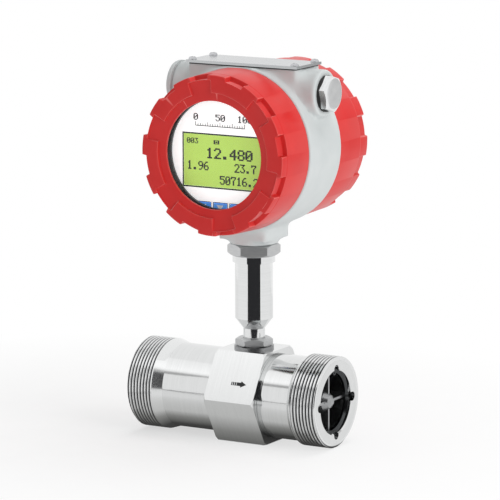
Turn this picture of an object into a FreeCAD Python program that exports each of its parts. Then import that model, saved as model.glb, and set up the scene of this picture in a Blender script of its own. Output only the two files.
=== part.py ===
"""Turbine flow meter with a display head on a stem.

The origin is the centre of the inlet face, +X is the flow direction, the display
faces -Y and +Z is up. All lengths are in millimetres.
"""
import FreeCAD, Part
import math
import os
import Sketcher

doc = FreeCAD.newDocument("FlowMeter")

# Driving sizes: name, value and what it measures
SIZES = (
    ("body_length", 140.0, "meter body, face to face"),
    ("stem_share", 79 / 140, "stem axis from the inlet face, as a share of the body"),
    ("thread_radius", 29.8, "outside of the pipe thread"),
    ("thread_length", 18.5, "length of each pipe thread"),
    ("thread_edge", 0.3, "chamfer on the thread's end"),
    ("runout_length", 7.0, "taper between thread and pipe"),
    ("pipe_radius", 27.5, "outside of the plain pipe"),
    ("edge_break", 0.8, "small turned chamfers"),
    ("hexagon_flats", 60.2, "across the flats of the middle block"),
    ("hexagon_length", 36.4, "middle block along the pipe"),
    ("hexagon_turned", 33.4, "radius of the turned chamfer on the block's ends"),
    ("line_depth", 0.6, "fine turned lines on the pipe beside the block"),
    ("line_wall", 0.7, "width of the fine turned lines and of the pipe between them"),
    ("bore_radius", 20.6, "flow bore"),
    ("keyway_radius", 3.0, "round keyways in the bore"),
    ("keyway_place", 21.5, "keyway centres from the axis"),
    ("well_wall", 1.6, "wall left between the bore and the pickup well"),
    ("hub_radius", 8.0, "hubs of the straighteners and the rotor"),
    ("nose_length", 12.0, "rounded nose of each straightener"),
    ("nose_set_back", 2.9, "nose tip behind the face of the body"),
    ("vane_set_back", 5.6, "vane edge behind the face of the body"),
    ("vane_share", 0.24, "vanes along the pipe, as a share of the body"),
    ("vane_wall", 1.6, "vane thickness"),
    ("ring_set_back", 3.7, "snap ring behind the face of the body"),
    ("ring_wall", 1.6, "snap ring thickness"),
    ("ring_inside", 18.9, "inner radius of the snap ring"),
    ("ring_groove_depth", 1.3, "depth of the snap ring groove"),
    ("rotor_length", 14.0, "rotor hub along the pipe"),
    ("rotor_gap", 1.2, "rotor hub to each straightener hub"),
    ("blade_count", 8.0, "rotor blades"),
    ("blade_tip_gap", 0.6, "blade tip to bore"),
    ("blade_wall", 1.4, "blade thickness"),
    ("blade_chord", 13.0, "blade length from edge to edge"),
    ("blade_root_angle", 22.0, "blade angle to the axis at the hub"),
    ("blade_tip_angle", 42.0, "blade angle to the axis at the tip"),
    ("shaft_radius", 1.5, "rotor shaft"),
    ("shaft_gap", 0.05, "running gap of the rotor shaft"),
    ("bearing_radius", 3.4, "outside of the bearing bushes"),
    ("bearing_length", 7.0, "bearing bushes"),
    ("seat_gap", 0.1, "gap round pieces that are fitted and stay still"),
    ("thread_gap", 0.3, "gap between plain cylinders that stand for threads"),
    ("washer_radius", 12.9, "seal washer under the lower nut"),
    ("washer_wall", 1.5, "seal washer thickness"),
    ("lower_nut_flats", 21.2, "lower lock nut across flats"),
    ("lower_nut_height", 5.2, "lower lock nut"),
    ("upper_nut_flats", 29.8, "upper lock nut across flats"),
    ("upper_nut_height", 7.9, "upper lock nut"),
    ("stem_tube_radius", 7.1, "narrow tube of the stem"),
    ("stem_tube_wall", 1.7, "wall of the narrow tube"),
    ("stem_foot_wall", 0.8, "closed end of the stem above the bore"),
    ("cone_bottom", 43.2, "foot of the stem's cone above the pipe axis"),
    ("cone_top", 50.0, "top of the stem's cone above the pipe axis"),
    ("stem_radius", 12.3, "wide cylinder of the stem"),
    ("stem_bore", 10.0, "room for the board inside the stem"),
    ("collar_radius", 13.9, "collar under the upper nut"),
    ("collar_drop", 75.4, "underside of the collar below the head's centre"),
    ("collar_height", 4.3, "collar under the upper nut"),
    ("spigot_radius", 11.9, "threaded top of the stem"),
    ("spigot_rim", 1.0, "stem above its clip"),
    ("clip_wall", 1.2, "clip that holds the head on the stem"),
    ("clip_radius", 13.2, "outside of the clip"),
    ("clip_groove", 0.9, "depth of the clip's groove"),
    ("coil_length", 15.0, "pickup coil"),
    ("core_radius", 1.8, "iron core of the pickup"),
    ("magnet_radius", 4.6, "pickup magnet"),
    ("magnet_length", 6.0, "pickup magnet"),
    ("board_wall", 1.6, "circuit boards"),
    ("preamp_room", 7.0, "wide part of the stem that the circuit board leaves free"),
    ("lead_radius", 1.2, "signal lead"),
    ("lead_drop", 41.4, "end of the signal lead below the head's centre"),
    ("head_height", 162.4, "centre of the head above the pipe axis"),
    ("barrel_radius", 53.4, "barrel of the housing"),
    ("barrel_half", 20.4, "half of the barrel's length"),
    ("neck_width", 35.4, "neck of the housing along the pipe"),
    ("neck_depth", 32.0, "neck of the housing across the pipe"),
    ("neck_boss_radius", 15.8, "round boss under the neck"),
    ("neck_boss_height", 3.4, "round boss under the neck"),
    ("neck_floor", 7.0, "thickness of the neck's floor"),
    ("passage_radius", 13.8, "wire passage in the neck"),
    ("box_width", 80.4, "top block of the housing along the pipe"),
    ("box_depth", 31.4, "top block of the housing across the pipe"),
    ("box_top", 52.4, "top of the block above the head's centre"),
    ("box_corner", 3.0, "rounded corners of block and neck"),
    ("entry_height", 37.0, "cable entries above the head's centre"),
    ("entry_boss_radius", 15.2, "cable entry bosses"),
    ("entry_boss_reach", 52.6, "face of each cable entry from the stem axis"),
    ("entry_bore", 9.3, "bore of the cable entries"),
    ("entry_bore_end", 22.0, "inner end of the cable entries from the stem axis"),
    ("spigot_ring_radius", 48.3, "threaded rings that carry the covers"),
    ("spigot_ring_reach", 33.0, "end of the threaded rings from the head's centre"),
    ("chamber_radius", 44.5, "chambers of the housing"),
    ("wall_front", 3.0, "front of the wall between the chambers"),
    ("wall_back", 2.0, "back of the wall between the chambers"),
    ("cover_gap", 0.3, "gap between a cover and the barrel"),
    ("skirt_radius", 52.5, "cover skirt at its mouth"),
    ("cover_nose_radius", 51.4, "cover at its front edge"),
    ("front_reach", 53.2, "front of the display cover from the head's centre"),
    ("rear_reach", 59.0, "end of the rear cover from the head's centre"),
    ("window_radius", 34.6, "window opening"),
    ("window_set_back", 2.2, "window rim behind the cover's front"),
    ("lip_wall", 1.5, "lip in front of the glass"),
    ("dish_radius", 48.2, "outer edge of the dished front"),
    ("dish_step", 0.8, "step between the dish and the outer rim"),
    ("pad_inside", 40.0, "inner edge of the raised pads"),
    ("pad_half_angle", 20.0, "half of each pad's angle"),
    ("pad_count", 6.0, "raised pads"),
    ("notch_radius", 48.4, "floor of the wrench notches"),
    ("notch_half_angle", 7.5, "half of each notch's angle"),
    ("notch_length", 6.6, "wrench notches of the display cover"),
    ("rear_notch_length", 10.0, "wrench notches of the rear cover"),
    ("notch_count", 12.0, "wrench notches"),
    ("cover_turn", 19.3, "resting turn of the covers"),
    ("glass_radius", 38.0, "window glass"),
    ("glass_wall", 4.0, "window glass"),
    ("gasket_wall", 0.8, "glass gasket"),
    ("retainer_inside", 35.0, "inner radius of gasket and retainer"),
    ("retainer_wall", 1.5, "glass retainer"),
    ("bezel_wall", 10.0, "front wall of the display cover"),
    ("ring_seal_radius", 1.0, "section radius of the cover seals"),
    ("seal_room", 2.4, "length of the recess for the cover seals"),
    ("rear_wall", 6.0, "end wall of the rear cover"),
    ("rear_room_radius", 44.0, "inside of the rear cover past its thread"),
    ("rear_thread_end", 46.0, "end of the rear cover's thread from the head's centre"),
    ("face_reach", 42.4, "front of the display face from the head's centre"),
    ("face_radius", 43.4, "display face"),
    ("face_wall", 1.2, "display face"),
    ("screen_width", 57.4, "visible screen"),
    ("screen_height", 33.2, "visible screen"),
    ("screen_drop", 5.1, "screen centre below the head's centre"),
    ("screen_shift", 1.9, "screen centre towards the outlet from the head's centre"),
    ("screen_border", 2.4, "screen frame behind the face"),
    ("screen_depth", 6.4, "screen from face to board"),
    ("key_width", 9.4, "keys"),
    ("key_height", 6.4, "keys"),
    ("key_spacing", 12.0, "keys"),
    ("key_drop", 35.1, "key centres below the head's centre"),
    ("key_proud", 0.5, "keys in front of the face"),
    ("key_travel", 0.8, "key stroke"),
    ("key_skirt", 0.6, "collar behind the face that keeps a key in"),
    ("key_gap", 0.2, "gap round the keys"),
    ("key_stem", 2.0, "radius of the key stems"),
    ("post_place", 27.2, "board posts from the head's centre, both ways"),
    ("post_radius", 2.6, "board posts"),
    ("board_radius", 43.0, "display board"),
    ("screw_radius", 1.25, "small screws"),
    ("screw_head_radius", 2.4, "small screw heads"),
    ("screw_head_height", 0.6, "display screw heads"),
    ("screw_depth", 6.0, "display screws in their posts"),
    ("terminal_place", 12.0, "terminal board from the head's centre"),
    ("terminal_radius", 42.0, "terminal board"),
    ("terminal_pitch", 7.0, "terminal clamps"),
    ("terminal_ways", 8.0, "terminal clamps"),
    ("terminal_height", 14.0, "terminal block"),
    ("terminal_depth", 11.0, "terminal block"),
    ("terminal_drop", 6.0, "terminal block below the head's centre"),
    ("plate_width", 81.7, "top plate"),
    ("plate_depth", 32.2, "top plate"),
    ("plate_wall", 1.8, "top plate"),
    ("plate_seal_wall", 0.8, "gasket under the top plate"),
    ("plate_seal_set_back", 1.6, "gasket edge behind the plate's edge"),
    ("plate_screw_x", 37.6, "top plate screws from the stem axis"),
    ("plate_screw_y", 13.0, "top plate screws from the stem axis"),
    ("plate_screw_head", 2.7, "top plate screw heads"),
    ("plate_screw_length", 8.0, "top plate screws"),
    ("plug_flats", 21.4, "hexagon plug across flats"),
    ("plug_head", 5.2, "hexagon plug head"),
    ("plug_shank", 12.0, "shank of both entry plugs"),
    ("plug_washer_radius", 13.3, "washer under the hexagon plug"),
    ("plug_washer_wall", 1.7, "washer under the hexagon plug"),
    ("cap_washer_wall", 0.8, "washer under the round cap"),
    ("cap_head", 3.7, "round cap on the second entry"),
    ("cap_socket_flats", 10.0, "hexagon socket of the round cap"),
    ("cap_socket_depth", 6.0, "hexagon socket of the round cap"),
)

# Shape of a nut's chamfers: flat face across the flats, and rise over run
NUT_FACE_SHARE = 0.97
NUT_CHAMFER_SLOPE = 0.577

# Rounded nose of a straightener: length and radius at each step, as shares
NOSE_STEPS = ((0, 0.25), (0.12, 0.52), (0.4, 0.8), (1, 1))

# Ears of a snap ring, as shares of the ring's width
EAR_SIZE = 0.9
EAR_SPACING = 1.6
EAR_DROP = 0.75
EAR_RADIUS = 0.72
EAR_HOLE_RADIUS = 0.3

# Rotor blade: full thickness along it, and its root inside the hub, as shares
BLADE_FULL_SHARE = 0.7
BLADE_ROOT_SHARE = 0.85

# Wire mouths and screw heads of the terminal clamps, as shares of the clamp
MOUTH_WIDTH_SHARE = 0.6
MOUTH_DEPTH_SHARE = 0.4
CLAMP_SCREW_SHARE = 0.36

# Cuts start this far outside the piece, in mm
CUT_ROOM = 2

sheet = doc.addObject("Spreadsheet::Sheet", "Sizes")
for row, (name, value, meaning) in enumerate(SIZES, start=1):
    sheet.set(f"A{row}", meaning)
    sheet.set(f"B{row}", str(value))
    sheet.setAlias(f"B{row}", name)
doc.recompute()


class Size:
    """A number together with the sheet formula that gives it."""

    def __init__(self, formula, number):
        self.formula = formula
        self.number = number

    def joined(self, sign, other, number):
        """Write the formula of two sizes joined by a sign."""
        return Size(f"({self.formula} {sign} {other.formula})", number)

    def __add__(self, other):
        other = as_size(other)
        return self.joined("+", other, self.number + other.number)

    def __sub__(self, other):
        other = as_size(other)
        return self.joined("-", other, self.number - other.number)

    def __mul__(self, other):
        other = as_size(other)
        return self.joined("*", other, self.number * other.number)

    def __truediv__(self, other):
        other = as_size(other)
        return self.joined("/", other, self.number / other.number)

    def __radd__(self, other):
        return as_size(other) + self

    def __rsub__(self, other):
        return as_size(other) - self

    def __rmul__(self, other):
        return as_size(other) * self

    def __neg__(self):
        return as_size(0) - self


def as_size(item):
    """Give a plain number the same form as a value from the sheet."""
    if isinstance(item, Size):
        return item
    return Size(f"({float(item):.9f})", float(item))


def sine(angle):
    """Sine of an angle in degrees that comes from the sheet."""
    return Size(f"sin({angle.formula})", math.sin(math.radians(angle.number)))


def cosine(angle):
    """Cosine of an angle in degrees that comes from the sheet."""
    return Size(f"cos({angle.formula})", math.cos(math.radians(angle.number)))


class Values:
    """The sheet's cells by name."""

    def __getattr__(self, name):
        return Size(f"Sizes.{name}", float(sheet.get(name)))


v = Values()


def bind(item, path, size):
    """Tie one property of an object to a formula of the sheet."""
    item.setExpression(path, as_size(size).formula)


def new_body(label, x=0, y=0, z=0, axis=(0, 0, 1), turn=0):
    """Start a sub-part whose frame stands at x, y, z, turned about an axis."""
    body = doc.addObject("PartDesign::Body", label)
    body.Label = label
    turned = FreeCAD.Rotation(FreeCAD.Vector(*axis), as_size(turn).number)
    body.Placement = FreeCAD.Placement(FreeCAD.Vector(0, 0, 0), turned)
    if isinstance(turn, Size):
        bind(body, "Placement.Rotation.Angle", turn)
    for name, place in (("x", x), ("y", y), ("z", z)):
        bind(body, f"Placement.Base.{name}", place)
    return body


def origin_item(body, role):
    """Find one of the body's own origin planes or axes."""
    return next(item for item in body.Origin.OriginFeatures if item.Role == role)


def sketch_on(body, role, offset=0):
    """Start a sketch on an origin plane of the body, moved along its normal."""
    sketch = body.newObject("Sketcher::SketchObject", f"{body.Label}_sketch")
    sketch.AttachmentSupport = [(origin_item(body, role), "")]
    sketch.MapMode = "FlatFace"
    bind(sketch, "AttachmentOffset.Base.z", offset)
    return sketch


def fix(sketch, kind, size, *where):
    """Add one driven dimension to a sketch."""
    size = as_size(size)
    index = sketch.addConstraint(Sketcher.Constraint(kind, *where, size.number))
    sketch.setExpression(f"Constraints[{index}]", size.formula)


def pin(sketch, line, end, x, y):
    """Hold one point of a sketch at its distances from the origin."""
    fix(sketch, "DistanceX", x, -1, 1, line, end)
    fix(sketch, "DistanceY", y, -1, 1, line, end)


def outline(sketch, corners):
    """Draw a closed outline of straight lines through the corners."""
    first = sketch.GeometryCount
    corners = [(as_size(x), as_size(y)) for x, y in corners]
    points = [FreeCAD.Vector(x.number, y.number, 0) for x, y in corners]
    for start, end in zip(points, points[1:] + points[:1]):
        sketch.addGeometry(Part.LineSegment(start, end), False)
    for index in range(len(points)):
        after = first + (index + 1) % len(points)
        sketch.addConstraint(Sketcher.Constraint("Coincident", first + index, 2, after, 1))
    for index, (x, y) in enumerate(corners):
        pin(sketch, first + index, 1, x, y)


def rectangle(sketch, x, y, width, height):
    """Draw a rectangle about a centre."""
    x, y, width, height = (as_size(item) for item in (x, y, width, height))
    left, right = x - width / 2, x + width / 2
    low, high = y - height / 2, y + height / 2
    outline(sketch, [(left, low), (right, low), (right, high), (left, high)])


def circle(sketch, x, y, radius):
    """Draw a circle about a centre."""
    x, y, radius = as_size(x), as_size(y), as_size(radius)
    centre = FreeCAD.Vector(x.number, y.number, 0)
    normal = FreeCAD.Vector(0, 0, 1)
    index = sketch.addGeometry(Part.Circle(centre, normal, radius.number), False)
    pin(sketch, index, 3, x, y)
    fix(sketch, "Radius", radius, index)


def hexagon(sketch, flats, first_corner=0, x=0, y=0):
    """Draw a hexagon with a corner at the given angle."""
    reach = flats / math.sqrt(3)
    angles = [math.radians(first_corner + 60 * index) for index in range(6)]
    outline(sketch, [(x + reach * math.cos(a), y + reach * math.sin(a)) for a in angles])


def sector(sketch, inside, outside, half_angle):
    """Draw a piece of a ring that is centred on the sketch's upward axis."""
    first = sketch.GeometryCount
    middle = math.pi / 2
    half = math.radians(half_angle.number)
    normal = FreeCAD.Vector(0, 0, 1)
    for radius in (inside, outside):
        ring = Part.Circle(FreeCAD.Vector(0, 0, 0), normal, radius.number)
        index = sketch.addGeometry(Part.ArcOfCircle(ring, middle - half, middle + half), False)
        sketch.addConstraint(Sketcher.Constraint("Coincident", index, 3, -1, 1))
        fix(sketch, "Radius", radius, index)
        fix(sketch, "DistanceX", radius * sine(half_angle), -1, 1, index, 1)
        fix(sketch, "DistanceX", -(radius * sine(half_angle)), -1, 1, index, 2)
    for end, sign in ((1, 1), (2, -1)):
        points = [
            FreeCAD.Vector(sign * r.number * math.sin(half), r.number * math.cos(half), 0)
            for r in (inside, outside)
        ]
        line = sketch.addGeometry(Part.LineSegment(*points), False)
        sketch.addConstraint(Sketcher.Constraint("Coincident", line, 1, first, end))
        sketch.addConstraint(Sketcher.Constraint("Coincident", line, 2, first + 1, end))


def spin(body, kind, corners, axis):
    """Turn a closed outline once round an axis; kind is Revolution or Groove."""
    role, sketch_axis = {
        "X": ("XY_Plane", "H_Axis"),
        "Y": ("XY_Plane", "V_Axis"),
        "Z": ("XZ_Plane", "V_Axis"),
    }[axis]
    sketch = sketch_on(body, role)
    outline(sketch, corners)
    feature = body.newObject(f"PartDesign::{kind}", f"{body.Label}_{kind.lower()}")
    feature.Profile = sketch
    feature.ReferenceAxis = (sketch, [sketch_axis])
    feature.Angle = 360
    return feature


def push(body, kind, sketch, length, reversed_way=False):
    """Push a sketch out or in by a length; kind is Pad or Pocket."""
    feature = body.newObject(f"PartDesign::{kind}", f"{body.Label}_{kind.lower()}")
    feature.Profile = sketch
    feature.Reversed = reversed_way
    bind(feature, "Length", length)
    return feature


def ring_of(body, features, axis, count):
    """Repeat features round one of the body's axes."""
    pattern = body.newObject("PartDesign::PolarPattern", f"{body.Label}_pattern")
    pattern.Originals = features
    pattern.Axis = (origin_item(body, f"{axis}_Axis"), [""])
    pattern.Angle = 360
    bind(pattern, "Occurrences", count)
    body.Tip = pattern
    return pattern


def round_edges(body, radius, chosen):
    """Round the edges of the body's newest feature that the test picks."""
    doc.recompute()
    base = body.Tip
    names = [
        f"Edge{number}"
        for number, edge in enumerate(base.Shape.Edges, start=1)
        if chosen(edge)
    ]
    feature = body.newObject("PartDesign::Fillet", f"{body.Label}_fillet")
    feature.Base = (base, names)
    bind(feature, "Radius", radius)
    return feature


def is_upright(edge):
    """Tell whether an edge is a straight line along Z."""
    direction = edge.Vertexes[-1].Point - edge.Vertexes[0].Point
    return abs(direction.z) > 1 and math.hypot(direction.x, direction.y) < 0.01


def is_block_corner(edge):
    """Tell whether an upright edge belongs to the top block and not to the neck."""
    return is_upright(edge) and edge.CenterOfMass.z > 0


def turned_piece(label, corners, axis, **place):
    """Make a sub-part that is one turned profile."""
    body = new_body(label, **place)
    spin(body, "Revolution", corners, axis)
    return body


def nut(label, flats, height, bore, z):
    """Make a hexagon nut on the stem axis with turned chamfers on its corners."""
    body = new_body(label, stem_place, 0, z)
    sketch = sketch_on(body, "XY_Plane")
    hexagon(sketch, flats, first_corner=30)
    circle(sketch, 0, 0, bore)
    push(body, "Pad", sketch, height)
    corner = flats / math.sqrt(3) + v.edge_break
    inner = flats * NUT_FACE_SHARE / 2
    drop = (corner - inner) * NUT_CHAMFER_SLOPE
    spin(body, "Groove", [(inner, height), (corner, height - drop), (corner, height)], "Z")
    spin(body, "Groove", [(inner, 0), (corner, 0), (corner, drop)], "Z")
    return body


# Meter body: threaded pipe with a hexagon block, keyed bore and pickup well
stem_place = v.body_length * v.stem_share
vane_length = v.body_length * v.vane_share
bore_top = v.bore_radius
well_floor = v.bore_radius + v.well_wall
flat_height = v.hexagon_flats / 2
ring_groove_radius = v.bore_radius + v.ring_groove_depth
keyway_length = v.vane_set_back + vane_length + v.seat_gap


def make_meter_body():
    """Turn the pipe, add the hexagon, then cut bore, grooves, keyways and well."""
    body = new_body("meter_body")
    end = v.body_length
    thread_end = v.thread_length
    spin(body, "Revolution", [
        (0, 0),
        (0, v.thread_radius - v.thread_edge),
        (v.thread_edge, v.thread_radius),
        (thread_end, v.thread_radius),
        (thread_end + v.runout_length, v.pipe_radius),
        (end - thread_end - v.runout_length * 0.4, v.pipe_radius),
        (end - thread_end, v.thread_radius),
        (end - v.thread_edge, v.thread_radius),
        (end, v.thread_radius - v.thread_edge),
        (end, 0),
    ], "X")
    block_start = stem_place - v.hexagon_length / 2
    block = sketch_on(body, "YZ_Plane", block_start)
    hexagon(block, v.hexagon_flats)
    push(body, "Pad", block, v.hexagon_length)
    corner = v.hexagon_flats / math.sqrt(3) + 1
    for place, way in ((block_start, 1), (block_start + v.hexagon_length, -1)):
        spin(body, "Groove", [
            (place, v.hexagon_turned),
            (place, corner),
            (place + (corner - v.hexagon_turned) * way, corner),
        ], "X")
    line_end = block_start + v.hexagon_length + v.line_wall / 2
    for start in (line_end, line_end + v.line_wall * 2):
        spin(body, "Groove", [
            (start, v.pipe_radius - v.line_depth),
            (start, v.pipe_radius + v.line_depth),
            (start + v.line_wall, v.pipe_radius + v.line_depth),
            (start + v.line_wall, v.pipe_radius - v.line_depth),
        ], "X")
    ring_start = v.ring_set_back
    ring_end = v.ring_set_back + v.ring_wall + v.seat_gap
    spin(body, "Groove", [
        (0, 0),
        (0, v.bore_radius + v.edge_break),
        (v.edge_break, v.bore_radius),
        (ring_start, v.bore_radius),
        (ring_start, ring_groove_radius),
        (ring_end, ring_groove_radius),
        (ring_end, v.bore_radius),
        (end - ring_end, v.bore_radius),
        (end - ring_end, ring_groove_radius),
        (end - ring_start, ring_groove_radius),
        (end - ring_start, v.bore_radius),
        (end - v.edge_break, v.bore_radius),
        (end, v.bore_radius + v.edge_break),
        (end, 0),
    ], "X")
    for offset, reversed_way in ((0, True), (v.body_length, False)):
        keyways = sketch_on(body, "YZ_Plane", offset)
        circle(keyways, 0, v.keyway_place, v.keyway_radius)
        keyway = push(body, "Pocket", keyways, keyway_length, reversed_way)
        ring_of(body, [keyway], "X", 4)
    well = sketch_on(body, "XY_Plane", flat_height)
    circle(well, stem_place, 0, v.stem_tube_radius + v.thread_gap)
    push(body, "Pocket", well, flat_height - well_floor)


def make_straightener(label, length, x, turn):
    """Make a hub with a rounded nose, four vanes and four round feet."""
    body = new_body(label, x=x, turn=turn)
    tip = v.nose_set_back
    spin(body, "Revolution", [
        (tip, 0),
        *[(tip + v.nose_length * back, v.hub_radius * wide) for back, wide in NOSE_STEPS],
        (length, v.hub_radius),
        (length, 0),
    ], "X")
    vane_top = v.keyway_place
    vane = sketch_on(body, "XZ_Plane", -v.vane_wall / 2)
    outline(vane, [
        (v.vane_set_back, 0),
        (v.vane_set_back, vane_top),
        (v.vane_set_back + vane_length, vane_top),
        (v.vane_set_back + vane_length, 0),
    ])
    vane_pad = push(body, "Pad", vane, v.vane_wall)
    ring_of(body, [vane_pad], "X", 4)
    foot = sketch_on(body, "YZ_Plane", v.vane_set_back)
    circle(foot, 0, v.keyway_place, v.keyway_radius - v.seat_gap)
    foot_pad = push(body, "Pad", foot, vane_length)
    ring_of(body, [foot_pad], "X", 4)
    seat = v.bearing_length
    spin(body, "Groove", [
        (length - seat - v.bearing_radius, 0),
        (length - seat - v.bearing_radius, v.shaft_radius + v.thread_gap),
        (length - seat, v.shaft_radius + v.thread_gap),
        (length - seat, v.bearing_radius),
        (length, v.bearing_radius),
        (length, 0),
    ], "X")


def make_snap_ring(label, x, turn):
    """Make an open ring with two drilled ears."""
    body = new_body(label, x=x, turn=turn)
    inside, outside = v.ring_inside, ring_groove_radius - v.seat_gap
    spin(body, "Revolution", [
        (0, inside),
        (0, outside),
        (v.ring_wall, outside),
        (v.ring_wall, inside),
    ], "X")
    ear = (outside - inside) * EAR_SIZE
    middle = (inside + outside) / 2
    gap = sketch_on(body, "YZ_Plane")
    rectangle(gap, 0, middle, ear * 2, (outside - inside) * 2)
    push(body, "Pocket", gap, v.ring_wall, True)
    for side in (-1, 1):
        ears = sketch_on(body, "YZ_Plane")
        ear_x, ear_z = ear * EAR_SPACING * side, middle - ear * EAR_DROP
        circle(ears, ear_x, ear_z, ear * EAR_RADIUS)
        circle(ears, ear_x, ear_z, ear * EAR_HOLE_RADIUS)
        push(body, "Pad", ears, v.ring_wall)


inlet_hub_length = stem_place - v.rotor_length / 2 - v.rotor_gap
outlet_hub_length = v.body_length - stem_place - v.rotor_length / 2 - v.rotor_gap


def make_bearing(label, x):
    """Make a plain bush for the rotor shaft."""
    turned_piece(label, [
        (0, v.shaft_radius + v.shaft_gap),
        (0, v.bearing_radius),
        (v.bearing_length, v.bearing_radius),
        (v.bearing_length, v.shaft_radius + v.shaft_gap),
    ], "X", x=x)


def make_rotor():
    """Make the hub and the twisted blades, trimmed to the bore."""
    body = new_body("turbine_rotor", x=stem_place)
    half = v.rotor_length / 2
    spin(body, "Revolution", [
        (-half, v.shaft_radius),
        (-half, v.hub_radius - v.edge_break),
        (v.edge_break - half, v.hub_radius),
        (half - v.edge_break, v.hub_radius),
        (half, v.hub_radius - v.edge_break),
        (half, v.shaft_radius),
    ], "X")
    tip_radius = v.bore_radius - v.blade_tip_gap
    sections = []
    for height, angle in (
        (v.hub_radius * BLADE_ROOT_SHARE, v.blade_root_angle),
        (tip_radius + 1, v.blade_tip_angle),
    ):
        section = sketch_on(body, "XY_Plane", height)
        along = v.blade_chord / 2
        across = v.blade_wall / 2
        taper = along * BLADE_FULL_SHARE
        outline(section, [
            (a * cosine(angle) - b * sine(angle), a * sine(angle) + b * cosine(angle))
            for a, b in (
                (-along, as_size(0)), (-taper, -across), (taper, -across),
                (along, as_size(0)), (taper, across), (-taper, across),
            )
        ])
        sections.append(section)
    blade = body.newObject("PartDesign::AdditiveLoft", "turbine_rotor_blade")
    blade.Profile = sections[0]
    blade.Sections = [sections[1]]
    ring_of(body, [blade], "X", v.blade_count)
    spin(body, "Groove", [
        (-v.blade_chord, tip_radius),
        (-v.blade_chord, tip_radius * 1.4),
        (v.blade_chord, tip_radius * 1.4),
        (v.blade_chord, tip_radius),
    ], "X")


def make_shaft():
    """Make the rotor's shaft with pointed ends, seated in both bushes."""
    reach = v.rotor_length / 2 + v.rotor_gap + v.bearing_length + v.bearing_radius * 0.5
    turned_piece("rotor_shaft", [
        (-reach, 0),
        (v.shaft_radius - reach, v.shaft_radius),
        (reach - v.shaft_radius, v.shaft_radius),
        (reach, 0),
    ], "X", x=stem_place)


make_meter_body()
make_straightener("inlet_straightener", inlet_hub_length, 0, 0)
make_straightener("outlet_straightener", outlet_hub_length, v.body_length, 180)
make_snap_ring("inlet_snap_ring", v.ring_set_back, 0)
make_snap_ring("outlet_snap_ring", v.body_length - v.ring_set_back, 180)
make_bearing("inlet_bearing", inlet_hub_length - v.bearing_length)
make_bearing("outlet_bearing", v.body_length - outlet_hub_length)
make_rotor()
make_shaft()


# Stem: seal washer, lock nuts, the tube with its cone and wide cylinder, pickup and board
nut_seat = flat_height + v.washer_wall
collar_bottom = v.head_height - v.collar_drop
collar_top = collar_bottom + v.collar_height
housing_bottom = collar_top + v.upper_nut_height
clip_seat = housing_bottom + v.neck_floor
clip_end = clip_seat + v.clip_wall + v.seat_gap
spigot_top = clip_end + v.edge_break + v.spigot_rim
board_foot = v.cone_top + v.stem_tube_wall
preamp_length = collar_bottom - v.cone_top - v.preamp_room
lead_top = v.head_height - v.lead_drop
pickup_floor = well_floor + v.seat_gap + v.stem_foot_wall
tube_bore = v.stem_tube_radius - v.stem_tube_wall


def make_stem():
    """Turn the stem with its closed foot, cone, collar and clip groove."""
    foot = well_floor + v.seat_gap
    clip_floor = v.spigot_radius - v.clip_groove
    turned_piece("stem", [
        (0, foot),
        (v.stem_tube_radius, foot),
        (v.stem_tube_radius, v.cone_bottom),
        (v.stem_radius, v.cone_top),
        (v.stem_radius, collar_bottom),
        (v.collar_radius, collar_bottom),
        (v.collar_radius, collar_top),
        (v.spigot_radius, collar_top),
        (v.spigot_radius, clip_seat),
        (clip_floor, clip_seat),
        (clip_floor, clip_end),
        (v.spigot_radius, clip_end),
        (v.spigot_radius, spigot_top - v.edge_break),
        (v.spigot_radius - v.edge_break, spigot_top),
        (v.stem_bore, spigot_top),
        (v.stem_bore, board_foot),
        (tube_bore, v.cone_bottom + v.stem_tube_wall),
        (tube_bore, pickup_floor),
        (0, pickup_floor),
    ], "Z", x=stem_place)


def make_pickup():
    """Make the flanged coil, its iron core and the magnet on top."""
    flange = v.stem_foot_wall
    outside = tube_bore - v.seat_gap
    waist = outside - flange
    inside = v.core_radius + v.seat_gap
    turned_piece("pickup_coil", [
        (inside, 0), (outside, 0), (outside, flange), (waist, flange),
        (waist, v.coil_length - flange), (outside, v.coil_length - flange),
        (outside, v.coil_length), (inside, v.coil_length),
    ], "Z", x=stem_place, z=pickup_floor)
    turned_piece("pickup_core", [
        (0, 0), (v.core_radius, 0), (v.core_radius, v.coil_length), (0, v.coil_length),
    ], "Z", x=stem_place, z=pickup_floor)
    turned_piece("pickup_magnet", [
        (0, 0), (v.magnet_radius, 0), (v.magnet_radius, v.magnet_length), (0, v.magnet_length),
    ], "Z", x=stem_place, z=pickup_floor + v.coil_length)


def make_preamp_board():
    """Make the upright board that stands across the stem's bore on its cone."""
    body = new_body("preamp_board", stem_place, 0, board_foot)
    sketch = sketch_on(body, "XZ_Plane", -v.board_wall / 2)
    half = v.stem_bore - v.seat_gap * 2
    outline(sketch, [
        (-half, 0), (half, 0), (half, preamp_length), (-half, preamp_length),
    ])
    push(body, "Pad", sketch, v.board_wall)


def make_signal_lead():
    """Make the lead from the board up into the neck, with its plug on the end."""
    foot = board_foot + preamp_length
    plug = v.lead_radius * 2.6
    plug_length = plug * 2.4
    turned_piece("signal_lead", [
        (0, foot), (v.lead_radius, foot), (v.lead_radius, lead_top - plug_length),
        (plug, lead_top - plug_length), (plug, lead_top), (0, lead_top),
    ], "Z", x=stem_place)


def make_clip():
    """Make the clip that keeps the head on the stem and lets it turn."""
    inside = v.spigot_radius - v.clip_groove + v.seat_gap
    turned_piece("swivel_clip", [
        (inside, 0), (v.clip_radius, 0), (v.clip_radius, v.clip_wall), (inside, v.clip_wall),
    ], "Z", x=stem_place, z=clip_seat)


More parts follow.
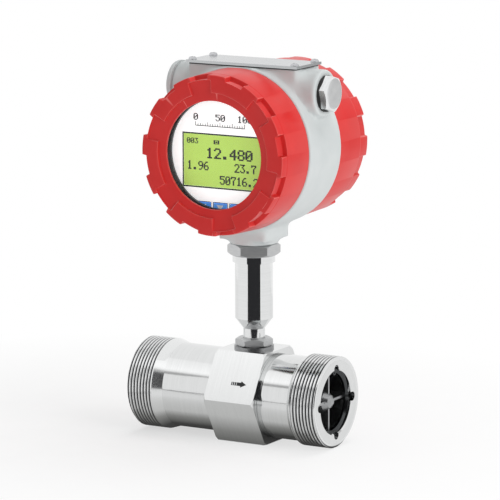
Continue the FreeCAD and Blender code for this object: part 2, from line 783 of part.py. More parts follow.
turned_piece("lower_washer", [
    (v.stem_tube_radius + v.seat_gap, 0),
    (v.washer_radius, 0),
    (v.washer_radius, v.washer_wall),
    (v.stem_tube_radius + v.seat_gap, v.washer_wall),
], "Z", x=stem_place, z=flat_height)
nut("lower_lock_nut", v.lower_nut_flats, v.lower_nut_height,
    v.stem_tube_radius + v.seat_gap, nut_seat)
make_stem()
nut("upper_lock_nut", v.upper_nut_flats, v.upper_nut_height,
    v.spigot_radius + v.seat_gap, collar_top)
make_pickup()
make_preamp_board()
make_signal_lead()
make_clip()


# Head housing, in its own frame at the centre of the barrel
head_place = {"x": stem_place, "z": v.head_height}
foot_of_head = housing_bottom - v.head_height
neck_bottom = foot_of_head + v.neck_boss_height


def make_housing():
    """Build block, neck and barrel, then cut chambers, passage, entries and holes."""
    body = new_body("housing", **head_place)
    neck = sketch_on(body, "XY_Plane", neck_bottom)
    rectangle(neck, 0, 0, v.neck_width, v.neck_depth)
    push(body, "Pad", neck, -neck_bottom)
    round_edges(body, v.box_corner, is_upright)
    block = sketch_on(body, "XY_Plane")
    rectangle(block, 0, 0, v.box_width, v.box_depth)
    push(body, "Pad", block, v.box_top)
    round_edges(body, v.box_corner, is_block_corner)
    spin(body, "Revolution", [
        (0, -v.spigot_ring_reach),
        (v.spigot_ring_radius - v.edge_break, -v.spigot_ring_reach),
        (v.spigot_ring_radius, v.edge_break - v.spigot_ring_reach),
        (v.spigot_ring_radius, -v.barrel_half),
        (v.barrel_radius - v.edge_break, -v.barrel_half),
        (v.barrel_radius, v.edge_break - v.barrel_half),
        (v.barrel_radius, v.barrel_half - v.edge_break),
        (v.barrel_radius - v.edge_break, v.barrel_half),
        (v.spigot_ring_radius, v.barrel_half),
        (v.spigot_ring_radius, v.spigot_ring_reach - v.edge_break),
        (v.spigot_ring_radius - v.edge_break, v.spigot_ring_reach),
        (0, v.spigot_ring_reach),
    ], "Y")
    spin(body, "Revolution", [
        (0, foot_of_head), (v.neck_boss_radius, foot_of_head),
        (v.neck_boss_radius, neck_bottom), (0, neck_bottom),
    ], "Z")
    for way in (-1, 1):
        boss = sketch_on(body, "YZ_Plane", way * v.entry_boss_reach)
        circle(boss, 0, v.entry_height, v.entry_boss_radius)
        push(body, "Pad", boss, v.entry_boss_reach, way > 0)
    round_edges(body, v.edge_break * 2, is_boss_rim)
    flat = sketch_on(body, "XY_Plane", v.box_top)
    rectangle(flat, 0, 0, v.box_width, v.barrel_half * 2 + CUT_ROOM)
    push(body, "Pocket", flat, v.barrel_radius - v.box_top + 1, True)
    for wall, mouth in (
        (-v.wall_front, -(v.spigot_ring_reach + 1)),
        (v.wall_back, v.spigot_ring_reach + 1),
    ):
        spin(body, "Groove", [
            (0, wall), (v.chamber_radius, wall), (v.chamber_radius, mouth), (0, mouth),
        ], "Y")
    swivel_bore = v.spigot_radius + v.seat_gap
    room = foot_of_head + v.neck_floor
    passage_top = v.passage_radius - v.chamber_radius + CUT_ROOM
    spin(body, "Groove", [
        (0, foot_of_head - 1), (swivel_bore, foot_of_head - 1), (swivel_bore, room),
        (v.passage_radius, room), (v.passage_radius, passage_top), (0, passage_top),
    ], "Z")
    for way in (-1, 1):
        entry = sketch_on(body, "YZ_Plane", way * v.entry_boss_reach)
        circle(entry, 0, v.entry_height, v.entry_bore)
        push(body, "Pocket", entry, v.entry_boss_reach - v.entry_bore_end, way < 0)
    holes = sketch_on(body, "XY_Plane", v.box_top)
    for x in (-1, 1):
        for y in (-1, 1):
            circle(holes, x * v.plate_screw_x, y * v.plate_screw_y, v.screw_radius + v.seat_gap)
    push(body, "Pocket", holes, v.plate_screw_length + v.seat_gap)


def is_boss_rim(edge):
    """Tell whether an edge is the outer rim of a cable entry boss."""
    at_face = abs(abs(edge.CenterOfMass.x) - v.entry_boss_reach.number) < 0.01
    return at_face and abs(edge.Length - 2 * math.pi * v.entry_boss_radius.number) < 0.1


make_housing()


# Covers, both drawn with the front at -Y and the notch pattern centred on +Z
cover_mouth = v.barrel_half + v.cover_gap
seal_end = cover_mouth + v.seal_room
cover_bore = v.spigot_ring_radius + v.thread_gap
seal_place = v.spigot_ring_radius + v.seat_gap + v.ring_seal_radius
seal_recess = seal_place + v.ring_seal_radius + v.seat_gap
glass_front = v.front_reach - v.window_set_back - v.lip_wall
glass_back = glass_front - v.glass_wall
gasket_back = glass_back - v.gasket_wall
retainer_back = gasket_back - v.retainer_wall


def skirt(reach):
    """List the skirt's outside and mouth, from the front rim to the thread."""
    return [
        (v.dish_radius, -reach),
        (v.cover_nose_radius - v.edge_break, -reach),
        (v.cover_nose_radius, v.edge_break - reach),
        (v.skirt_radius, -(cover_mouth + v.edge_break)),
        (v.skirt_radius - v.edge_break, -cover_mouth),
        (seal_recess, -cover_mouth),
        (seal_recess, -seal_end),
        (cover_bore, -seal_end),
    ]


def cut_notches(body, reach, length):
    """Cut the wrench notches round the front edge of a cover."""
    sketch = sketch_on(body, "XZ_Plane", reach)
    sector(sketch, v.notch_radius, v.skirt_radius + CUT_ROOM, v.notch_half_angle)
    notch = push(body, "Pocket", sketch, length)
    ring_of(body, [notch], "Y", v.notch_count)


def raise_pads(body, reach):
    """Raise the cast pads on the dished front up to the rim's plane."""
    sketch = sketch_on(body, "XZ_Plane", reach)
    sector(sketch, v.pad_inside, v.dish_radius + 0.2, v.pad_half_angle)
    pad = push(body, "Pad", sketch, v.window_set_back + v.edge_break, True)
    ring_of(body, [pad], "Y", v.pad_count)


def make_front_cover():
    """Make the display cover with its window, glass seat and pads."""
    body = new_body("front_cover", **head_place, axis=(0, 1, 0), turn=v.cover_turn)
    seat = v.glass_radius + v.seat_gap
    spin(body, "Revolution", [
        (v.window_radius, -glass_front),
        (v.window_radius, v.window_set_back - v.front_reach),
        (v.dish_radius, v.dish_step - v.front_reach),
        *skirt(v.front_reach),
        (cover_bore, v.bezel_wall - v.front_reach),
        (seat, v.bezel_wall - v.front_reach),
        (seat, -glass_front),
    ], "Y")
    raise_pads(body, v.front_reach)
    cut_notches(body, v.front_reach, v.notch_length)


def make_rear_cover():
    """Make the closed cover over the terminals."""
    half_turn = math.radians(v.cover_turn.number / 2)
    axis = (math.sin(half_turn), 0, math.cos(half_turn))
    body = new_body("rear_cover", **head_place, axis=axis, turn=180)
    dish = v.window_set_back - v.rear_reach
    spin(body, "Revolution", [
        (0, dish),
        (v.window_radius, dish),
        (v.dish_radius, v.dish_step - v.rear_reach),
        *skirt(v.rear_reach),
        (cover_bore, -v.rear_thread_end),
        (v.rear_room_radius, -v.rear_thread_end),
        (v.rear_room_radius, v.rear_wall - v.rear_reach),
        (0, v.rear_wall - v.rear_reach),
    ], "Y")
    raise_pads(body, v.rear_reach)
    cut_notches(body, v.rear_reach, v.rear_notch_length)


def flat_ring(label, inside, outside, front, back):
    """Make a flat ring of the head that lies between two distances in front of its centre."""
    turned_piece(label, [
        (inside, -front), (outside, -front), (outside, -back), (inside, -back),
    ], "Y", **head_place)


def make_seal(label, way):
    """Make the round-section ring that seals a cover against the barrel."""
    body = new_body(label, **head_place)
    sketch = sketch_on(body, "XY_Plane")
    circle(sketch, seal_place, way * (cover_mouth + v.ring_seal_radius), v.ring_seal_radius)
    feature = body.newObject("PartDesign::Revolution", f"{label}_revolution")
    feature.Profile = sketch
    feature.ReferenceAxis = (sketch, ["V_Axis"])
    feature.Angle = 360


make_front_cover()
flat_ring("window_glass", 0, v.glass_radius, glass_front, glass_back)
flat_ring("glass_gasket", v.retainer_inside, v.glass_radius, glass_back, gasket_back)
flat_ring("glass_retainer", v.retainer_inside, v.glass_radius, gasket_back, retainer_back)
make_seal("front_seal", -1)
make_rear_cover()
make_seal("rear_seal", 1)


# Top plate on its gasket, with four screws
plate_bottom = v.box_top + v.plate_seal_wall
plate_top = plate_bottom + v.plate_wall
screw_hole = v.screw_radius + v.seat_gap


def plate_corners():
    """List the four screw places of the top plate."""
    return [(x * v.plate_screw_x, y * v.plate_screw_y) for x in (-1, 1) for y in (-1, 1)]


def make_plate(label, width, depth, bottom, wall):
    """Make a flat plate of the top with its screw holes."""
    body = new_body(label, **head_place)
    sketch = sketch_on(body, "XY_Plane", bottom)
    rectangle(sketch, 0, 0, width, depth)
    for x, y in plate_corners():
        circle(sketch, x, y, screw_hole)
    push(body, "Pad", sketch, wall)


def make_screws(label, places, role, seat, length, shank, head, head_height, reversed_way):
    """Make a set of equal screws whose heads stand on a seat plane."""
    parts = []
    for index, (x, y) in enumerate(places, start=1):
        body = new_body(f"{label}_{index}", **head_place)
        shank_sketch = sketch_on(body, role, seat)
        circle(shank_sketch, x, y, shank)
        push(body, "Pad", shank_sketch, length, not reversed_way)
        head_sketch = sketch_on(body, role, seat)
        circle(head_sketch, x, y, head)
        push(body, "Pad", head_sketch, head_height, reversed_way)
        parts.append(body)
    join(label, parts)


groups = {}


def join(label, parts):
    """Keep equal pieces together as one sub-part of separate solids."""
    group = doc.addObject("Part::Compound", label)
    group.Label = label
    group.Links = parts
    groups[label] = group


make_plate("top_plate_gasket", v.plate_width - v.plate_seal_set_back * 2,
           v.plate_depth - v.plate_seal_set_back * 2, v.box_top, v.plate_seal_wall)
make_plate("top_plate", v.plate_width, v.plate_depth, plate_bottom, v.plate_wall)
make_screws("top_plate_screws", plate_corners(), "XY_Plane", plate_top,
            plate_top - v.box_top + v.plate_screw_length, v.screw_radius,
            v.plate_screw_head, v.plate_wall, False)


# Cable entries: a hexagon plug at the outlet side, a round cap at the inlet side
def make_hexagon_plug():
    """Make the plug with its hexagon head and shank."""
    washer_face = v.entry_boss_reach + v.plug_washer_wall
    body = new_body("right_plug", **head_place)
    head = sketch_on(body, "YZ_Plane", washer_face)
    hexagon(head, v.plug_flats, first_corner=30, y=v.entry_height)
    push(body, "Pad", head, v.plug_head)
    shank = sketch_on(body, "YZ_Plane", washer_face - v.plug_shank)
    circle(shank, 0, v.entry_height, v.entry_bore - v.thread_gap)
    push(body, "Pad", shank, v.plug_shank)
    turned_piece("right_plug_washer", [
        (0, v.entry_bore), (0, v.plug_washer_radius),
        (v.plug_washer_wall, v.plug_washer_radius), (v.plug_washer_wall, v.entry_bore),
    ], "X", x=stem_place + v.entry_boss_reach, z=v.head_height + v.entry_height)


def make_round_cap():
    """Make the round cap with a rounded edge and a hexagon socket."""
    seat = v.cap_washer_wall
    face = seat + v.cap_head
    round_part = v.edge_break * 2
    place = {"x": stem_place - v.entry_boss_reach, "z": v.head_height + v.entry_height}
    body = new_body("left_plug", **place, turn=180)
    spin(body, "Revolution", [
        (seat - v.plug_shank, 0),
        (seat - v.plug_shank, v.entry_bore - v.thread_gap),
        (seat, v.entry_bore - v.thread_gap),
        (seat, v.entry_boss_radius),
        (face - round_part, v.entry_boss_radius),
        (face - round_part * 0.3, v.entry_boss_radius - round_part * 0.3),
        (face, v.entry_boss_radius - round_part),
        (face, 0),
    ], "X")
    socket = sketch_on(body, "YZ_Plane", face)
    hexagon(socket, v.cap_socket_flats)
    push(body, "Pocket", socket, v.cap_socket_depth)
    turned_piece("left_plug_washer", [
        (0, v.entry_bore), (0, v.entry_boss_radius - v.edge_break),
        (v.cap_washer_wall, v.entry_boss_radius - v.edge_break),
        (v.cap_washer_wall, v.entry_bore),
    ], "X", **place, turn=180)


make_hexagon_plug()
make_round_cap()


# Display behind the window: face, screen, keys, board, posts and screws
face_back = v.face_reach - v.face_wall
board_front = v.face_reach - v.screen_depth
board_back = board_front - v.board_wall
post_places = [(x * v.post_place, y * v.post_place) for x in (-1, 1) for y in (-1, 1)]
key_places = {"key_left": -1, "key_middle": 0, "key_right": 1}


def disc_plate(label, radius, front, wall, holes):
    """Make a round plate of the head with round holes."""
    body = new_body(label, **head_place)
    sketch = sketch_on(body, "XZ_Plane", front)
    circle(sketch, 0, 0, radius)
    for x, y in holes:
        circle(sketch, x, y, screw_hole)
    push(body, "Pad", sketch, wall, True)
    return body


def make_display_face():
    """Make the face plate with openings for the screen and the keys."""
    body = disc_plate("display_face", v.face_radius, v.face_reach, v.face_wall, post_places)
    openings = sketch_on(body, "XZ_Plane", v.face_reach)
    rectangle(openings, v.screen_shift, -v.screen_drop, v.screen_width, v.screen_height)
    for side in key_places.values():
        rectangle(openings, side * v.key_spacing, -v.key_drop,
                  v.key_width + v.key_gap * 2, v.key_height + v.key_gap * 2)
    push(body, "Pocket", openings, v.face_wall)


def make_screen():
    """Make the screen that fills its opening, with a frame behind the face."""
    body = new_body("lcd_module", **head_place)
    frame = sketch_on(body, "XZ_Plane", face_back)
    rectangle(frame, v.screen_shift, -v.screen_drop, v.screen_width + v.screen_border * 2,
              v.screen_height + v.screen_border * 2)
    push(body, "Pad", frame, face_back - board_front, True)
    glass = sketch_on(body, "XZ_Plane", v.face_reach)
    rectangle(glass, v.screen_shift, -v.screen_drop, v.screen_width - v.seat_gap * 2,
              v.screen_height - v.seat_gap * 2)
    push(body, "Pad", glass, v.face_wall, True)


def make_key(label, side):
    """Make a key cap with the collar that keeps it in and the stem to its switch."""
    body = new_body(label, **head_place)
    x = side * v.key_spacing
    cap = sketch_on(body, "XZ_Plane", v.face_reach + v.key_proud)
    rectangle(cap, x, -v.key_drop, v.key_width, v.key_height)
    push(body, "Pad", cap, v.key_proud + v.face_wall + v.key_skirt, True)
    collar = sketch_on(body, "XZ_Plane", face_back)
    rectangle(collar, x, -v.key_drop, v.key_width + v.key_skirt * 2,
              v.key_height + v.key_skirt * 2)
    push(body, "Pad", collar, v.key_skirt, True)
    stem = sketch_on(body, "XZ_Plane", face_back)
    circle(stem, x, -v.key_drop, v.key_stem)
    push(body, "Pad", stem, v.key_skirt * 2, True)


def make_key_switches():
    """Make the three small switches on the board behind the keys."""
    parts = []
    top = face_back - v.key_skirt * 2 - v.key_travel - v.seat_gap
    for label, side in key_places.items():
        body = new_body(f"switch_of_{label}", **head_place)
        sketch = sketch_on(body, "XZ_Plane", top)
        rectangle(sketch, side * v.key_spacing, -v.key_drop, v.key_height, v.key_height)
        push(body, "Pad", sketch, top - board_front, True)
        parts.append(body)
    join("key_switches", parts)


def make_posts(label, places, front, back, drilled_from, bore_depth):
    """Make equal round posts across the head, drilled from one end for their screws."""
    parts = []
    for index, (x, y) in enumerate(places, start=1):
        body = new_body(f"{label}_{index}", **head_place)
        sketch = sketch_on(body, "XZ_Plane", front)
        circle(sketch, x, y, v.post_radius)
        push(body, "Pad", sketch, front - back, True)
        bore = sketch_on(body, "XZ_Plane", drilled_from)
        circle(bore, x, y, screw_hole)
        push(body, "Pocket", bore, bore_depth, drilled_from is back)
        parts.append(body)
    join(label, parts)


make_display_face()
make_screen()
for key_name, key_side in key_places.items():
    make_key(key_name, key_side)
disc_plate("display_board", v.board_radius, board_front, v.board_wall, post_places)
make_key_switches()
make_posts("display_spacers", post_places, face_back, board_front, face_back,
           face_back - board_front)
make_posts("display_posts", post_places, board_back, v.wall_front, board_back,
           v.screw_depth + v.seat_gap)
make_screws("display_screws", post_places, "XZ_Plane", v.face_reach,
            v.face_reach - board_back + v.screw_depth, v.screw_radius,
            v.screw_head_radius, v.screw_head_height, False)


# Terminals in the rear chamber
terminal_front = -v.terminal_place
terminal_back = terminal_front - v.board_wall
block_length = v.terminal_pitch * v.terminal_ways


def make_terminal_block():
    """Make the clamp block with a wire mouth under each clamp."""
    body = new_body("terminal_block", **head_place)
    block = sketch_on(body, "XZ_Plane", terminal_back)
    rectangle(block, 0, -v.terminal_drop, block_length, v.terminal_height)
    push(body, "Pad", block, v.terminal_depth, True)
    mouth = sketch_on(body, "XY_Plane", -(v.terminal_drop + v.terminal_height / 2))
    rectangle(mouth, (v.terminal_pitch - block_length) / 2,
              -terminal_back + v.terminal_depth * MOUTH_DEPTH_SHARE,
              v.terminal_pitch * MOUTH_WIDTH_SHARE, v.terminal_depth * MOUTH_DEPTH_SHARE)
    mouth_cut = push(body, "Pocket", mouth, v.terminal_height * MOUTH_DEPTH_SHARE, True)
    row = body.newObject("PartDesign::LinearPattern", "terminal_block_mouths")
    row.Originals = [mouth_cut]
    row.Direction = (origin_item(body, "X_Axis"), [""])
    bind(row, "Length", block_length - v.terminal_pitch)
    bind(row, "Occurrences", v.terminal_ways)
    body.Tip = row


def make_terminal_screws():
    """Make one clamp screw head for each way of the terminal block."""
    parts = []
    for way in range(round(v.terminal_ways.number)):
        place = way - (round(v.terminal_ways.number) - 1) / 2
        body = new_body(f"terminal_screw_{way + 1}", **head_place)
        sketch = sketch_on(body, "XZ_Plane", terminal_back - v.terminal_depth)
        circle(sketch, v.terminal_pitch * place, -v.terminal_drop,
               v.terminal_pitch * CLAMP_SCREW_SHARE)
        push(body, "Pad", sketch, v.face_wall, True)
        parts.append(body)
    join("terminal_screws", parts)


disc_plate("terminal_board", v.terminal_radius, terminal_front, v.board_wall, post_places)
make_posts("terminal_posts", post_places, -v.wall_back, terminal_front, terminal_front,
           v.screw_depth + v.seat_gap)
make_screws("terminal_board_screws", post_places, "XZ_Plane", terminal_back,
            v.board_wall + v.screw_depth, v.screw_radius,
            v.screw_head_radius, v.board_wall, True)
make_terminal_block()
make_terminal_screws()


def check_document():
    """Stop if an object failed, or if a cut took nothing away."""
    doc.recompute()
    for item in doc.Objects:
        if {"Invalid", "Error"} & set(item.State):
            raise RuntimeError(f"{item.Label} failed: {item.State}")
        if item.TypeId in ("PartDesign::Pocket", "PartDesign::Groove"):
            before, after = item.BaseFeature.Shape.Volume, item.Shape.Volume
            if after > before - 0.01:
                raise RuntimeError(f"{item.Label} cut nothing")


def write_parts():
    """Write every sub-part that isn't a member of a group to its own file."""
    members = {body.Name for group in groups.values() for body in group.Links}
    os.makedirs("parts", exist_ok=True)
    kept = [item for item in doc.Objects if item.TypeId == "PartDesign::Body"]
    for item in [body for body in kept if body.Name not in members] + list(groups.values()):
        shape = item.Shape
        if shape.isNull() or not shape.isValid():
            raise RuntimeError(f"{item.Label} has no valid shape")
        shape.exportStep(f"parts/{item.Label}.step")
        print(item.Label, len(shape.Solids), round(shape.Volume, 1))


check_document()
write_parts()
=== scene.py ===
"""Looks of a turbine flow meter: finishes, threads, covers, printed face and studio."""
import logging
import math
import re
from dataclasses import dataclass, field
from enum import Enum
from typing import Callable, Iterable, Optional, Sequence

import bpy
import numpy as np
from mathutils import Matrix, Vector


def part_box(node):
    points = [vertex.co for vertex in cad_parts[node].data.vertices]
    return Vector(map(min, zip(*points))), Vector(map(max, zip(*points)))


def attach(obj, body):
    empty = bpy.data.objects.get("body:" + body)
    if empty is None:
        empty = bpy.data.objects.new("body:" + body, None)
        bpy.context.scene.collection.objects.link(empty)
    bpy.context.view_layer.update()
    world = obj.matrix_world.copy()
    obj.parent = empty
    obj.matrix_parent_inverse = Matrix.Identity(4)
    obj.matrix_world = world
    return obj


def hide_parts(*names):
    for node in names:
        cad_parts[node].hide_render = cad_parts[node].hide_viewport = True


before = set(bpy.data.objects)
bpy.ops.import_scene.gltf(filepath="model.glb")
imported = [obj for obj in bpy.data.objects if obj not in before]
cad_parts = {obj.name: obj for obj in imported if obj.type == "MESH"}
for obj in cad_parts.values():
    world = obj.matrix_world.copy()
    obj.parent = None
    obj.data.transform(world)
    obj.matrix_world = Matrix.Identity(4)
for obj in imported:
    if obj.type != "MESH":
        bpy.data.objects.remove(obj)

LOG = logging.getLogger("flow_meter")
MM = 0.001
TAU = 2 * math.pi
WHITE = "#FFFFFF"
Array = np.ndarray
Socket = bpy.types.NodeSocket
Tree = bpy.types.NodeTree
Patch = list[tuple[float, float]]
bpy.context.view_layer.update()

# The stem's place along the pipe, the height of the head's axis, and where they meet
STEM_X = 79 * MM
HEAD_HEIGHT = 162.4 * MM
HEAD = Vector((STEM_X, 0, HEAD_HEIGHT))
# How far the cable entries' axis lies above the head's
ENTRY_RISE = 37.0 * MM
# Radius of the tiny ring that closes a turned face at its pole
POLE = 0.0005 * MM


class Axis(Enum):
    """The line that a turned piece is turned round."""

    X = 0
    Y = 1


def linear(code: str) -> tuple[float, float, float, float]:
    """Turn an sRGB hex colour into the linear values that a shader takes.

    Args:
        code: Six hex digits, with or without a leading hash.

    Returns:
        Linear red, green, blue and an alpha of one.
    """
    code = code.lstrip("#")
    parts = [int(code[i:i + 2], 16) / 255 for i in (0, 2, 4)]
    out = [c / 12.92 if c <= 0.04045 else ((c + 0.055) / 1.055) ** 2.4 for c in parts]
    return (out[0], out[1], out[2], 1.0)


def add(tree: Tree, kind: str, links: Optional[dict] = None,
        values: Optional[dict] = None, stops: Sequence[tuple[float, str]] = (),
        **settings) -> bpy.types.Node:
    """Add one shader node with its settings, socket values and incoming links.

    Args:
        tree: Node tree that gets the node.
        kind: Blender's name of the node's type, without the ShaderNode prefix.
        links: Input name to the output socket that feeds it.
        values: Input name to its fixed value.
        stops: Place and sRGB hex colour of each stop of a colour ramp, from low to high.
        **settings: Properties of the node itself.

    Returns:
        The new node.
    """
    node = tree.nodes.new(f"ShaderNode{kind}")
    for name, value in settings.items():
        setattr(node, name, value)
    for name, value in (values or {}).items():
        node.inputs[name].default_value = value
    for name, socket in (links or {}).items():
        tree.links.new(socket, node.inputs[name])
    elements = node.color_ramp.elements if stops else []
    while len(elements) < len(stops):
        elements.new(0.5)
    for element, (place, colour) in zip(elements, stops):
        element.position = place
        element.color = linear(colour)
    return node


def new_material(name: str) -> tuple[bpy.types.Material, Tree, bpy.types.Node]:
    """Start a material with one empty shader.

    Args:
        name: The finish's own name.

    Returns:
        The material, its node tree and its Principled shader.
    """
    material = bpy.data.materials.new(name)
    material.use_nodes = True
    tree = material.node_tree
    return material, tree, tree.nodes["Principled BSDF"]


def placed(name: str, data: bpy.types.ID) -> bpy.types.Object:
    """Put new data into the scene as an object.

    Args:
        name: Name of the object.
        data: Its mesh, lamp or camera.

    Returns:
        The new object, at the origin.
    """
    thing = bpy.data.objects.new(name, data)
    bpy.context.scene.collection.objects.link(thing)
    return thing


@dataclass(frozen=True)
class Grain:
    """A fine relief worked out from a real grain size.

    Attributes:
        size_mm: Width of one grain across the surface.
        stretch: How many times longer the grain is along each axis.
        height_mm: Relief from valley to crest.
        detail: Octaves of the noise.
    """

    size_mm: float
    stretch: tuple[float, float, float] = (1, 1, 1)
    height_mm: float = 0.02
    detail: float = 3.0

    def field(self, tree: Tree) -> Socket:
        """Add the noise: value of a random field at the point over the grain size.

        Args:
            tree: Node tree that gets the nodes.

        Returns:
            The socket with the field's value.
        """
        place = add(tree, "TexCoord").outputs["Object"]
        scale = [1 / (self.size_mm * MM * s) for s in self.stretch]
        spread = add(tree, "Mapping", {"Vector": place}, {"Scale": scale})
        noise = add(tree, "TexNoise", {"Vector": spread.outputs["Vector"]},
                    {"Scale": 1.0, "Detail": self.detail, "Roughness": 0.55})
        return noise.outputs["Fac"]

    def bump(self, tree: Tree, shader: bpy.types.Node) -> Socket:
        """Put the relief on a shader.

        Args:
            tree: Node tree of the shader.
            shader: The shader.

        Returns:
            The field that the relief comes from.
        """
        height = self.field(tree)
        relief = add(tree, "Bump", {"Height": height},
                     {"Strength": 1.0, "Distance": self.height_mm * MM})
        tree.links.new(relief.outputs["Normal"], shader.inputs["Normal"])
        return height


def distance_from(tree: Tree, axis: str, place: float) -> Socket:
    """Measure how far the shaded point lies from a plane across one axis.

    Args:
        tree: Node tree that gets the nodes.
        axis: Letter of the axis.
        place: Where the plane cuts it.

    Returns:
        The socket with the distance.
    """
    along = add(tree, "SeparateXYZ", {0: add(tree, "TexCoord").outputs["Object"]})
    past = add(tree, "Math", {0: along.outputs[axis]}, {1: place}, operation="SUBTRACT")
    return add(tree, "Math", {0: past.outputs[0]}, operation="ABSOLUTE").outputs[0]


@dataclass(frozen=True)
class Steel:
    """Turned or polished stainless steel, which shows its room with faint tool lines."""

    name: str
    light: str = "#D6D7D8"
    dark: str = "#BDBEC0"
    roughness: float = 0.14
    spread: float = 0.06
    grain: Grain = Grain(0.35, (1, 40, 40), 0.0012)

    def build(self) -> bpy.types.Material:
        """Build the material: tool lines in the relief, the colour and the gloss.

        Returns:
            The new material.
        """
        material, tree, shader = new_material(self.name)
        shader.inputs["Metallic"].default_value = 1.0
        lines = self.grain.bump(tree, shader)
        colour = add(tree, "ValToRGB", {"Fac": lines},
                     stops=[(0.3, self.dark), (0.7, self.light)])
        tree.links.new(colour.outputs["Color"], shader.inputs["Base Color"])
        gloss = add(tree, "MapRange", {"Value": lines},
                    {"To Min": self.roughness, "To Max": self.roughness + self.spread})
        tree.links.new(gloss.outputs["Result"], shader.inputs["Roughness"])
        return material


@dataclass(frozen=True)
class ThreadSteel(Steel):
    """Cut pipe thread: light steel on its crests, with painted shade down its flanks and in its
    grooves.

    Attributes:
        root: Radius of the grooves from the pipe's axis.
        crest: Radius of the crests.
        groove: Colour of the painted shade at the root.
        flank_shade: Colour of the lighter painted shade half-way up.
        middle: Half of the pipe's length, from where the end faces are found.
        turned: Distance from the middle at which the turned taper meets the thread.
        face_depth: How deep the end face's light colour reaches.
        fade: Width of the change from the thread's colour to the taper's.
    """

    root: float = 28.35 * MM
    crest: float = 29.7 * MM
    groove: str = "#303031"
    flank_shade: str = "#8E8E90"
    middle: float = 70 * MM
    turned: float = 51.4 * MM
    face_depth: float = 0.04 * MM
    fade: float = 0.2 * MM

    def build(self) -> bpy.types.Material:
        """Build the steel, then let its colour follow the radius round the X axis as painted
        shade.

        The end faces and the turned tapers keep the light colour at every radius.

        Returns:
            The new material.
        """
        material = super().build()
        tree = material.node_tree
        shader = tree.nodes["Principled BSDF"]
        place = add(tree, "TexCoord").outputs["Object"]
        across = add(tree, "VectorMath", {0: place}, {1: (0, 1, 1)}, operation="MULTIPLY")
        radius = add(tree, "VectorMath", {0: across.outputs[0]}, operation="LENGTH")
        height = add(tree, "MapRange", {"Value": radius.outputs["Value"]},
                     {"From Min": self.root, "From Max": self.crest})
        off = distance_from(tree, "X", self.middle)
        face = add(tree, "MapRange", {"Value": off},
                   {"From Min": self.middle - self.face_depth,
                    "From Max": self.middle - 0.75 * self.face_depth})
        taper = add(tree, "MapRange", {"Value": off},
                    {"From Min": self.turned, "From Max": self.turned - self.fade})
        ends = add(tree, "Math", {0: face.outputs["Result"], 1: taper.outputs["Result"]},
                   operation="MAXIMUM")
        bright = add(tree, "Math", {0: height.outputs["Result"], 1: ends.outputs[0]},
                     operation="MAXIMUM")
        # painted shade: the colour darkens from the crests down to the root of the thread
        colour = add(tree, "ValToRGB", {"Fac": bright.outputs[0]},
                     stops=[(0.0, self.groove), (0.55, self.flank_shade), (0.9, self.light)])
        tree.links.new(colour.outputs["Color"], shader.inputs["Base Color"])
        return material


@dataclass(frozen=True)
class PowderCoat:
    """Baked powder paint on a casting: a slight orange peel under a soft gloss.

    Attributes:
        name: Name of the material.
        colour: Colour of most of the paint.
        shade: Colour of its darker clouds.
        roughness: Middle roughness of the paint, and span how far it strays.
        coat: Weight and coat_roughness the blur of the clear gloss on top.
        gloss: Strength of the paint's own gloss.
        peel: The orange peel.
        clouds: Where the colour changes.
        edge_highlight: Colour of the painted highlight on sharp outer edges, if any.
        highlight_from: Radius round the head's axis from which edges get the painted highlight.
        sharp: Pointiness at which an edge starts to get the painted highlight and gets it in
            full.
        most: Share of the highlight colour there.
    """

    name: str
    colour: str
    shade: str
    roughness: float = 0.38
    span: float = 0.05
    coat: float = 0.06
    coat_roughness: float = 0.22
    gloss: float = 0.22
    peel: Grain = Grain(1.1, (1, 1, 1), 0.010, 2.0)
    clouds: Grain = Grain(14.0, detail=2.0)
    edge_highlight: Optional[str] = None
    highlight_from: float = 33.5 * MM
    sharp: tuple[float, float] = (0.515, 0.57)
    most: float = 0.8

    def build(self) -> bpy.types.Material:
        """Build the material: peel relief, mottled colour and a painted highlight on sharp edges.

        Returns:
            The new material.
        """
        material, tree, shader = new_material(self.name)
        shader.inputs["Coat Weight"].default_value = self.coat
        shader.inputs["Coat Roughness"].default_value = self.coat_roughness
        shader.inputs["Specular IOR Level"].default_value = self.gloss
        self.peel.bump(tree, shader)
        cloud = self.clouds.field(tree)
        colour = add(tree, "ValToRGB", {"Fac": cloud},
                     stops=[(0.3, self.shade), (0.7, self.colour)]).outputs["Color"]
        # painted highlight: sharp outer edges get a lighter red
        if self.edge_highlight:
            mix = add(tree, "Mix", {"Factor": self.highlight_share(tree), 6: colour},
                      {7: linear(self.edge_highlight)}, data_type="RGBA")
            colour = mix.outputs[2]
        tree.links.new(colour, shader.inputs["Base Color"])
        gloss = add(tree, "MapRange", {"Value": cloud},
                    {"To Min": self.roughness - self.span, "To Max": self.roughness + self.span})
        tree.links.new(gloss.outputs["Result"], shader.inputs["Roughness"])
        return material

    def highlight_share(self, tree: Tree) -> Socket:
        """Find the sharp outer edges, which get a painted highlight.

        The share is the pointiness of the surface times a step at the highlight's radius.

        Args:
            tree: Node tree that gets the nodes.

        Returns:
            The socket with the share of the painted highlight.
        """
        edge = add(tree, "MapRange", {"Value": add(tree, "NewGeometry").outputs["Pointiness"]},
                   {"From Min": self.sharp[0], "From Max": self.sharp[1], "To Max": self.most})
        across = add(tree, "VectorMath", {0: add(tree, "TexCoord").outputs["Object"]},
                     {1: (1, 0, 1)}, operation="MULTIPLY")
        away = add(tree, "VectorMath", {0: across.outputs[0]}, {1: HEAD},
                   operation="DISTANCE")
        outside = add(tree, "MapRange", {"Value": away.outputs["Value"]},
                      {"From Min": self.highlight_from, "From Max": self.highlight_from + MM})
        both = {0: edge.outputs["Result"], 1: outside.outputs["Result"]}
        return add(tree, "Math", both, operation="MULTIPLY").outputs[0]


